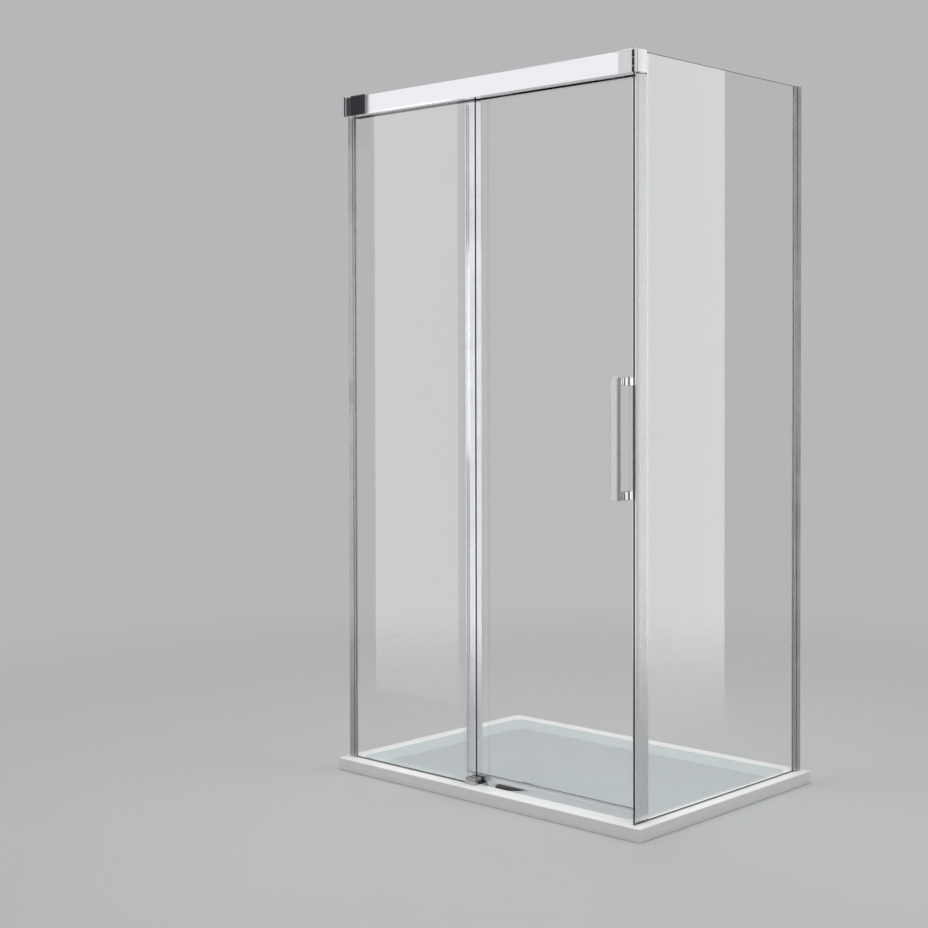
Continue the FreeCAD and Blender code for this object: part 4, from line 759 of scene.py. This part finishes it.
def make_waste_cover():
    """The domed cover with a fine ring turned into its top, a rounded lip and three feet below."""
    low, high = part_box("waste_cover")
    under = high.z - COVER_CROWN - COVER_UNDER
    dome = (COVER_RADIUS ** 2 + COVER_CROWN ** 2) / (2 * COVER_CROWN)

    def crown(radius):
        return high.z - dome + math.sqrt(dome ** 2 - radius ** 2)

    rim = crown(COVER_RADIUS)
    profile = [(0.0, under), (COVER_RADIUS - COVER_EDGE, under), (COVER_RADIUS, under + COVER_EDGE),
               (COVER_RADIUS, rim - COVER_EDGE), (COVER_RADIUS - COVER_EDGE, rim)]
    outer, inner = COVER_RING + COVER_RING_HALF, COVER_RING - COVER_RING_HALF
    groove = crown(COVER_RING) - COVER_RING_DEPTH
    profile += [(outer, crown(outer)), (COVER_RING, groove), (inner, crown(inner))]
    for step in range(COVER_STEPS - 1, -1, -1):
        radius = inner * step / COVER_STEPS
        profile.append((radius, crown(radius)))
    mesh = closed_rings("waste_cover_dome", lathe_rings(profile, COVER_TURNS), False)
    new_piece("waste_cover_dome", mesh, "waste_cover", "waste_black")

    tree = cover_feet_tree()
    feet = grown(tree, "waste_cover_feet", [(0, WASTE_Y, low.z)], {
        "Foot Count": COVER_FEET,
        "Circle Radius": COVER_FOOT_CIRCLE,
        "Foot Radius": COVER_FOOT_RADIUS,
        "Tip Radius": COVER_FOOT_TIP,
        "Foot Height": under - low.z + COVER_FOOT_SINK,
        "Finish": finishes["waste_black"],
    })
    piece = bpy.data.objects.new("waste_cover_feet", feet)
    scene.collection.objects.link(piece)
    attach(piece, frame["nodes"]["waste_cover"]["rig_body"])


# Pieces that repeat, grown by node trees

def tree_with_inputs(name, inputs):
    """An empty geometry tree with a Places input, the named inputs and a Geometry output."""
    tree = bpy.data.node_groups.new(name, "GeometryNodeTree")
    tree.interface.new_socket("Places", in_out="INPUT", socket_type="NodeSocketGeometry")
    for label, kind in inputs:
        tree.interface.new_socket(label, in_out="INPUT", socket_type="NodeSocket" + kind)
    tree.interface.new_socket("Geometry", in_out="OUTPUT", socket_type="NodeSocketGeometry")
    return tree, tree.nodes.new("NodeGroupInput"), tree.nodes.new("NodeGroupOutput")


def lifted(tree, geometry, height):
    """The geometry moved up by a height."""
    offset = tree.nodes.new("ShaderNodeCombineXYZ")
    tree.links.new(height, offset.inputs["Z"])
    move = tree.nodes.new("GeometryNodeTransform")
    tree.links.new(geometry, move.inputs["Geometry"])
    tree.links.new(offset.outputs["Vector"], move.inputs["Translation"])
    return move.outputs["Geometry"]


def joined(tree, operation, first, second):
    """Two solids made one, or the second cut from the first."""
    made = tree.nodes.new("GeometryNodeMeshBoolean")
    made.operation = operation
    if operation == "DIFFERENCE":
        tree.links.new(first, made.inputs["Mesh 1"])
        tree.links.new(second, made.inputs["Mesh 2"])
    else:
        tree.links.new(second, made.inputs["Mesh 2"])
        tree.links.new(first, made.inputs["Mesh 2"])
    return made.outputs["Mesh"]


def placed_and_finished(tree, entry, leave, places, shape, turn):
    """Instances of a shape on the places, made real and given the finish."""
    spread = tree.nodes.new("GeometryNodeInstanceOnPoints")
    tree.links.new(places, spread.inputs["Points"])
    tree.links.new(shape, spread.inputs["Instance"])
    if turn:
        tree.links.new(turn, spread.inputs["Rotation"])
    real = tree.nodes.new("GeometryNodeRealizeInstances")
    tree.links.new(spread.outputs["Instances"], real.inputs["Geometry"])
    dress = tree.nodes.new("GeometryNodeSetMaterial")
    tree.links.new(real.outputs["Geometry"], dress.inputs["Geometry"])
    tree.links.new(entry.outputs["Finish"], dress.inputs["Material"])
    tree.links.new(dress.outputs["Geometry"], leave.inputs["Geometry"])


def cone(tree, sides, lower, upper, height):
    """A cone or cylinder that stands on its lower radius."""
    made = tree.nodes.new("GeometryNodeMeshCone")
    made.inputs["Vertices"].default_value = sides
    tree.links.new(lower, made.inputs["Radius Bottom"])
    tree.links.new(upper, made.inputs["Radius Top"])
    tree.links.new(height, made.inputs["Depth"])
    return made.outputs["Mesh"]


def hex_screw_tree():
    """Screws on points: a drawn-in head with a hexagon recess above each point and the shank below it."""
    lengths = ("Head Radius", "Crown Radius", "Head Height", "Shank Radius", "Shank Length", "Recess Radius",
               "Recess Depth")
    inputs = [(label, "Float") for label in lengths] + [("Turn", "Vector"), ("Finish", "Material")]
    tree, entry, leave = tree_with_inputs("hex_screws", inputs)
    size = entry.outputs
    head = cone(tree, HEAD_SIDES, size["Head Radius"], size["Crown Radius"], size["Head Height"])
    half_head = calculated(tree, "MULTIPLY", size["Head Height"], HALF)
    shank_length = calculated(tree, "ADD", size["Shank Length"], half_head)
    shank = cone(tree, SHANK_SIDES, size["Shank Radius"], size["Shank Radius"], shank_length)
    shank = lifted(tree, shank, calculated(tree, "MULTIPLY", size["Shank Length"], -1.0))
    recess = cone(tree, HEXAGON, size["Recess Radius"], size["Recess Radius"], size["Head Height"])
    recess = lifted(tree, recess, calculated(tree, "SUBTRACT", size["Head Height"], size["Recess Depth"]))
    screw = joined(tree, "DIFFERENCE", joined(tree, "UNION", head, shank), recess)
    turn = tree.nodes.new("FunctionNodeEulerToRotation")
    tree.links.new(size["Turn"], turn.inputs["Euler"])
    placed_and_finished(tree, entry, leave, size["Places"], screw, turn.outputs["Rotation"])
    return tree


def cover_feet_tree():
    """Tapered feet set on a circle round each point."""
    lengths = ("Circle Radius", "Foot Radius", "Tip Radius", "Foot Height")
    inputs = [("Foot Count", "Int")] + [(label, "Float") for label in lengths] + [("Finish", "Material")]
    tree, entry, leave = tree_with_inputs("cover_feet", inputs)
    size = entry.outputs
    circle = tree.nodes.new("GeometryNodeMeshCircle")
    tree.links.new(size["Foot Count"], circle.inputs["Vertices"])
    tree.links.new(size["Circle Radius"], circle.inputs["Radius"])
    quarter = tree.nodes.new("GeometryNodeTransform")
    quarter.inputs["Rotation"].default_value = (0.0, 0.0, math.radians(QUARTER))
    tree.links.new(circle.outputs["Mesh"], quarter.inputs["Geometry"])
    rings = tree.nodes.new("GeometryNodeInstanceOnPoints")
    tree.links.new(size["Places"], rings.inputs["Points"])
    tree.links.new(quarter.outputs["Geometry"], rings.inputs["Instance"])
    stands = tree.nodes.new("GeometryNodeRealizeInstances")
    tree.links.new(rings.outputs["Instances"], stands.inputs["Geometry"])
    foot = cone(tree, SHANK_SIDES, size["Tip Radius"], size["Foot Radius"], size["Foot Height"])
    placed_and_finished(tree, entry, leave, stands.outputs["Geometry"], foot, None)
    return tree


def grown(tree, name, places, sizes):
    """The plain mesh that a tree grows on the places, with its inputs set from sizes."""
    seeds = bpy.data.meshes.new(name + "_places")
    seeds.from_pydata([tuple(place) for place in places], [], [])
    holder = bpy.data.objects.new(name, seeds)
    scene.collection.objects.link(holder)
    growth = holder.modifiers.new("growth", "NODES")
    growth.node_group = tree
    for socket in tree.interface.items_tree:
        if socket.in_out == "INPUT" and socket.name in sizes:
            growth[socket.identifier] = sizes[socket.name]
    graph = bpy.context.evaluated_depsgraph_get()
    mesh = bpy.data.meshes.new_from_object(holder.evaluated_get(graph))
    mesh.name = name
    holder.modifiers.clear()
    bpy.data.objects.remove(holder)
    for face in mesh.polygons:
        face.use_smooth = True
    mesh.set_sharp_from_angle(angle=SHARP_ANGLE)
    return mesh


def separate_solids(shape):
    """The corners of each solid in a welded mesh."""
    seen = set()
    for first in shape.verts:
        if first in seen:
            continue
        seen.add(first)
        corners = []
        waiting = [first]
        while waiting:
            corner = waiting.pop()
            corners.append(corner.co.copy())
            for line in corner.link_edges:
                other = line.other_vert(corner)
                if other not in seen:
                    seen.add(other)
                    waiting.append(other)
        yield corners


def measured_screw(corners):
    """Where a CAD screw's head seats, which way it faces, and its radii and lengths."""
    low = Vector([min(corner[axis] for corner in corners) for axis in AXES])
    high = Vector([max(corner[axis] for corner in corners) for axis in AXES])
    span = high - low
    along = max(AXES, key=lambda axis: span[axis])
    middle = (low + high) / 2
    places = []
    for corner in corners:
        across = corner - middle
        across[along] = 0.0
        places.append((across.length, corner[along]))
    half = middle[along]
    lower = max(radius for radius, level in places if level < half)
    upper = max(radius for radius, level in places if level > half)
    shank, sense = (lower, 1) if upper >= lower else (upper, -1)
    head = [level for radius, level in places if radius > shank * HEAD_MARGIN]
    tip, crown = (low[along], high[along]) if sense > 0 else (high[along], low[along])
    seat = (min(head) if sense > 0 else max(head)) if head else tip
    place = middle.copy()
    place[along] = seat
    facing = Vector((0, 0, 0))
    facing[along] = sense
    return place, facing, max(lower, upper), abs(crown - seat), shank, abs(seat - tip)


def make_screws(tree, node, finish):
    """Screws with hexagon recesses in the places and sizes of a CAD node's own."""
    source = welded_copy(node)
    screws = [measured_screw(corners) for corners in separate_solids(source)]
    source.free()
    whole = bmesh.new()
    for facing in sorted({tuple(screw[1]) for screw in screws}):
        group = [screw for screw in screws if tuple(screw[1]) == facing]
        place, direction, head, head_height, shank, shank_length = group[0]
        mesh = grown(tree, node + "_hex", [screw[0] for screw in group], {
            "Head Radius": head,
            "Crown Radius": head * CROWN_SHARE,
            "Head Height": head_height,
            "Shank Radius": shank,
            "Shank Length": max(shank_length, WELD),
            "Recess Radius": head * RECESS_SHARE,
            "Recess Depth": min(head_height, head * 2) * RECESS_DEPTH_SHARE,
            "Turn": tuple(direction.to_track_quat("Z", "Y").to_euler()),
            "Finish": finishes[finish],
        })
        whole.from_mesh(mesh)
        bpy.data.meshes.remove(mesh)
    mesh = mesh_of(node + "_hex", whole)
    mesh.set_sharp_from_angle(angle=SHARP_ANGLE)
    new_piece(node + "_hex", mesh, node, finish)


def dress_nodes():
    """Every node that keeps its CAD shape gets the finish of its slot in the record, or a paler one."""
    paler = {"front_channel_gaskets": "pale_gasket", "side_channel_gaskets": "pale_gasket",
             "fixed_panel_sill_seal": "sill_seal", "side_panel_sill_seal": "sill_seal"}
    for entry in frame["record"]["subparts"]:
        node = frame["nodes"][entry["node"]]
        finish = paler.get(entry["node"], entry["material_slot"])
        # The silver aluminium splits: upright pieces take the bright silver, flat ones the copy with painted
        # shade and reflection
        if finish == "silver_aluminium":
            low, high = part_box(entry["node"])
            finish = "silver_upright" if high.z - low.z > high.x - low.x else "shaded_silver_sill"
        node.data.materials.clear()
        node.data.materials.append(finishes[finish])


# The studio

def point_at(piece, place, target):
    """Stands a piece at a place and turns its face to a target."""
    piece.location = place
    piece.rotation_euler = (Vector(target) - Vector(place)).to_track_quat("-Z", "Y").to_euler()


def studio_sheet(name, corners, finish):
    """A flat sheet of the studio that the view itself never shows, and that casts no shadow."""
    shape = bmesh.new()
    shape.faces.new([shape.verts.new(corner) for corner in corners])
    mesh = mesh_of(name, shape)
    mesh.materials.append(finish)
    sheet = bpy.data.objects.new(name, mesh)
    scene.collection.objects.link(sheet)
    sheet.visible_camera = False
    sheet.visible_diffuse = False
    sheet.visible_shadow = False
    return sheet


def mirror_sheet(name, lamp, width, height, radiance):
    """The lamp's face for metal and glass that mirror it from behind a pane.

    Straight through a pane it stays clear.
    """
    made = bpy.data.materials.new(name)
    made.use_nodes = True
    made.cycles.emission_sampling = "NONE"
    tree = made.node_tree
    tree.nodes.clear()
    paths = tree.nodes.new("ShaderNodeLightPath")
    sides = tree.nodes.new("ShaderNodeNewGeometry")
    mirrored = calculated(tree, "GREATER_THAN", paths.outputs["Glossy Depth"], MIRRORED_DEPTH)
    ahead = calculated(tree, "SUBTRACT", 1.0, sides.outputs["Backfacing"])
    shown = calculated(tree, "MULTIPLY", mirrored, ahead)
    glow = tree.nodes.new("ShaderNodeEmission")
    tree.links.new(calculated(tree, "MULTIPLY", shown, radiance * LAMP_SHARE), glow.inputs["Strength"])
    clear = tree.nodes.new("ShaderNodeBsdfTransparent")
    both = tree.nodes.new("ShaderNodeAddShader")
    tree.links.new(glow.outputs["Emission"], both.inputs[0])
    tree.links.new(clear.outputs["BSDF"], both.inputs[1])
    output = tree.nodes.new("ShaderNodeOutputMaterial")
    tree.links.new(both.outputs["Shader"], output.inputs["Surface"])
    across, up = width / 2, height / 2
    sheet = studio_sheet(name, ((-across, -up, 0), (-across, up, 0), (across, up, 0), (across, -up, 0)), made)
    sheet.location = lamp.location
    sheet.rotation_euler = lamp.rotation_euler
    sheet.visible_glossy = False


def softbox(name, place, target, width, height, radiance):
    """A soft lamp whose face has the given brightness; polished pieces and glass mirror it."""
    lamp = bpy.data.lights.new(name, "AREA")
    lamp.shape = "RECTANGLE"
    lamp.size = width
    lamp.size_y = height
    lamp.energy = radiance * math.pi * width * height
    holder = bpy.data.objects.new(name, lamp)
    scene.collection.objects.link(holder)
    point_at(holder, place, target)
    holder.visible_camera = False
    holder.visible_transmission = False
    mirror_sheet(name + "_sheet", holder, width, height, radiance)


def front_lamp(name, left, right, foot, top, radiance):
    """A softbox that stands before the front and faces it squarely."""
    place = Vector(((left + right) / 2, FRONT_LAMPS_Y, (foot + top) / 2))
    softbox(name, place, place + Vector((0, 1, 0)), right - left, top - foot, radiance)


def side_lamp(name, start, end, foot, top, radiance):
    """A softbox that stands beside the side panel and faces it squarely."""
    place = Vector((SIDE_LAMPS_X, (start + end) / 2, (foot + top) / 2))
    softbox(name, place, place - Vector((1, 0, 0)), end - start, top - foot, radiance)


def make_floor():
    """A plain pale floor that fades into the backdrop far from the tray."""
    shape = bmesh.new()
    bmesh.ops.create_circle(shape, cap_ends=True, radius=FLOOR_REACH, segments=FLOOR_SIDES)
    mesh = mesh_of("studio_floor", shape)
    floor = bpy.data.objects.new("studio_floor", mesh)
    scene.collection.objects.link(floor)
    made, tree, shader, output = fresh_material("pale_floor")
    shader.inputs["Base Color"].default_value = (*FLOOR_COLOUR, 1.0)
    shader.inputs["Roughness"].default_value = FLOOR_ROUGHNESS
    place = tree.nodes.new("ShaderNodeTexCoord")
    length = tree.nodes.new("ShaderNodeVectorMath")
    length.operation = "LENGTH"
    tree.links.new(place.outputs["Object"], length.inputs[0])
    fade = tree.nodes.new("ShaderNodeMapRange")
    fade.interpolation_type = "SMOOTHSTEP"
    fade.inputs["From Min"].default_value = FLOOR_FADE_START
    fade.inputs["From Max"].default_value = FLOOR_FADE_END
    tree.links.new(length.outputs["Value"], fade.inputs["Value"])
    clear = tree.nodes.new("ShaderNodeBsdfTransparent")
    mixed_surface(tree, fade.outputs["Result"], shader.outputs["BSDF"], clear.outputs["BSDF"], output)
    mesh.materials.append(made)


def make_world():
    """An even pale room: one strength for the light it gives and a plain tone where it is seen."""
    world = bpy.data.worlds.new("studio_room")
    scene.world = world
    world.use_nodes = True
    tree = world.node_tree
    tree.nodes.clear()
    output = tree.nodes.new("ShaderNodeOutputWorld")
    light = tree.nodes.new("ShaderNodeBackground")
    light.inputs["Color"].default_value = ROOM_LIGHT
    light.inputs["Strength"].default_value = ROOM_STRENGTH
    shown = tree.nodes.new("ShaderNodeBackground")
    shown.inputs["Color"].default_value = BACKDROP
    paths = tree.nodes.new("ShaderNodeLightPath")
    seen = calculated(tree, "MAXIMUM", paths.outputs["Is Camera Ray"], paths.outputs["Is Glossy Ray"])
    seen = calculated(tree, "MAXIMUM", seen, paths.outputs["Is Transmission Ray"])
    mixed_surface(tree, seen, light.outputs["Background"], shown.outputs["Background"], output)


def dark_card(name, start, end, low, high):
    """A dark board that only polished pieces and glass mirror, for bright metal to stand against."""
    made, tree, shader, output = fresh_material(name)
    shader.inputs["Base Color"].default_value = BOARD_COLOUR
    shader.inputs["Roughness"].default_value = BOARD_ROUGHNESS
    card = studio_sheet(name, ((*start, low), (*end, low), (*end, high), (*start, high)), made)
    card.visible_transmission = False


def make_lights():
    """The lamps before the front, beside the side panel and above, and a dark board for the rail's sleeve."""
    front_lamp("front_band", BAND_LEFT, BAND_RIGHT, LAMP_FOOT, RAIL_LAMP_FOOT, BAND_RADIANCE)
    front_lamp("front_fill", BAND_RIGHT, FILL_RIGHT, LAMP_FOOT, RAIL_LAMP_FOOT, FILL_RADIANCE)
    front_lamp("rail_softbox", RAIL_LAMP_LEFT, FILL_RIGHT, RAIL_LAMP_FOOT, RAIL_LAMP_TOP, RAIL_RADIANCE)
    side_lamp("side_band", SIDE_BAND_START, SIDE_BAND_END, LAMP_FOOT, SIDE_BAND_TOP, BAND_RADIANCE)
    side_lamp("strike_band", STRIKE_LAMP_START, SIDE_BAND_START, LAMP_FOOT, CAP_LAMP_FOOT, STRIKE_RADIANCE)
    side_lamp("handle_softbox", HANDLE_LAMP_START, STRIKE_LAMP_START, HANDLE_LAMP_FOOT, HANDLE_LAMP_TOP,
              HANDLE_RADIANCE)
    side_lamp("cap_softbox", CAP_LAMP_START, SIDE_BAND_START, CAP_LAMP_FOOT, SIDE_BAND_TOP, CAP_RADIANCE)
    softbox("top_softbox", TOP_LAMP_PLACE, TOP_LAMP_TARGET, TOP_LAMP_SIZE, TOP_LAMP_SIZE, TOP_LAMP_RADIANCE)
    softbox("view_softbox", VIEW_LAMP_PLACE, VIEW_LAMP_TARGET, VIEW_LAMP_SIZE, VIEW_LAMP_SIZE,
            VIEW_LAMP_RADIANCE)
    softbox("key_softbox", KEY_PLACE, KEY_TARGET, KEY_SIZE, KEY_SIZE, KEY_RADIANCE)
    board_y = FRONT_LAMPS_Y + BOARD_AHEAD
    dark_card("dark_board", (BOARD_LEFT, board_y), (RAIL_LAMP_LEFT, board_y), BOARD_FOOT, RAIL_LAMP_TOP)


def make_camera():
    """The camera at the photograph's viewing angle."""
    lens = bpy.data.cameras.new("photo_view")
    lens.sensor_fit = "HORIZONTAL"
    lens.sensor_width = SENSOR
    lens.lens = FOCAL_PIXELS / PICTURE * SENSOR
    lens.shift_x = (PICTURE / 2 - MIDDLE_COLUMN) / PICTURE
    lens.shift_y = (MIDDLE_ROW - PICTURE / 2) / PICTURE
    holder = bpy.data.objects.new("photo_view", lens)
    scene.collection.objects.link(holder)
    heading = Matrix.Rotation(math.radians(CAMERA_HEADING), MATRIX_SIZE, "Z")
    dip = Matrix.Rotation(math.radians(QUARTER - CAMERA_DIP), MATRIX_SIZE, "X")
    roll = Matrix.Rotation(math.radians(CAMERA_ROLL), MATRIX_SIZE, "Z")
    holder.matrix_world = Matrix.Translation(CAMERA_PLACE) @ heading @ dip @ roll
    scene.camera = holder


dress_nodes()
make_tray()
make_waste_cover()
softened("top_rail", "rail", RAIL_EDGE)
for plated in ("corner_sleeve", "corner_clamp_cap"):
    softened(plated, "sleeve", PLATED_EDGE)
# The rail's wall end takes the chrome with painted shade
for plated in ("rail_end_sleeve", "rail_wall_bracket"):
    softened(plated, "shaded_end_sleeve", PLATED_EDGE)
for plated in ("handle_outer_posts", "handle_inner_posts"):
    softened(plated, "chrome", PLATED_EDGE)
softened("bottom_guide", "guide_chrome", PLATED_EDGE)
for bar in ("handle_outer_bar", "handle_inner_bar"):
    softened(bar, "satin_metal", BAR_EDGE)
# The wall channels and the side cap take the silver with painted shade
for profile in ("front_wall_channel", "front_glazing_channel", "side_wall_channel", "side_glazing_channel",
                "side_channel_cap"):
    softened(profile, "shaded_silver_wall", PROFILE_EDGE)
for profile in ("door_leading_profile", "door_trailing_profile"):
    softened(profile, "silver_upright", PROFILE_EDGE)
softened("door_bottom_profile", "shaded_silver_sill", PROFILE_EDGE)
make_strike()
softened("guide_pads", "black_nylon", PROFILE_EDGE)
for pane in ("fixed_panel_glass", "side_panel_glass", "door_glass"):
    glass_pane(pane)
screws = hex_screw_tree()
for fastened in ("front_channel_screws", "side_channel_screws", "rail_set_screws", "guide_screws",
                 "stop_screws", "hanger_bolts"):
    make_screws(screws, fastened, "zinc_steel")
make_screws(screws, "corner_clamp_studs", "chrome")
make_floor()
make_world()
make_lights()
make_camera()
scene.view_settings.view_transform = "Standard"
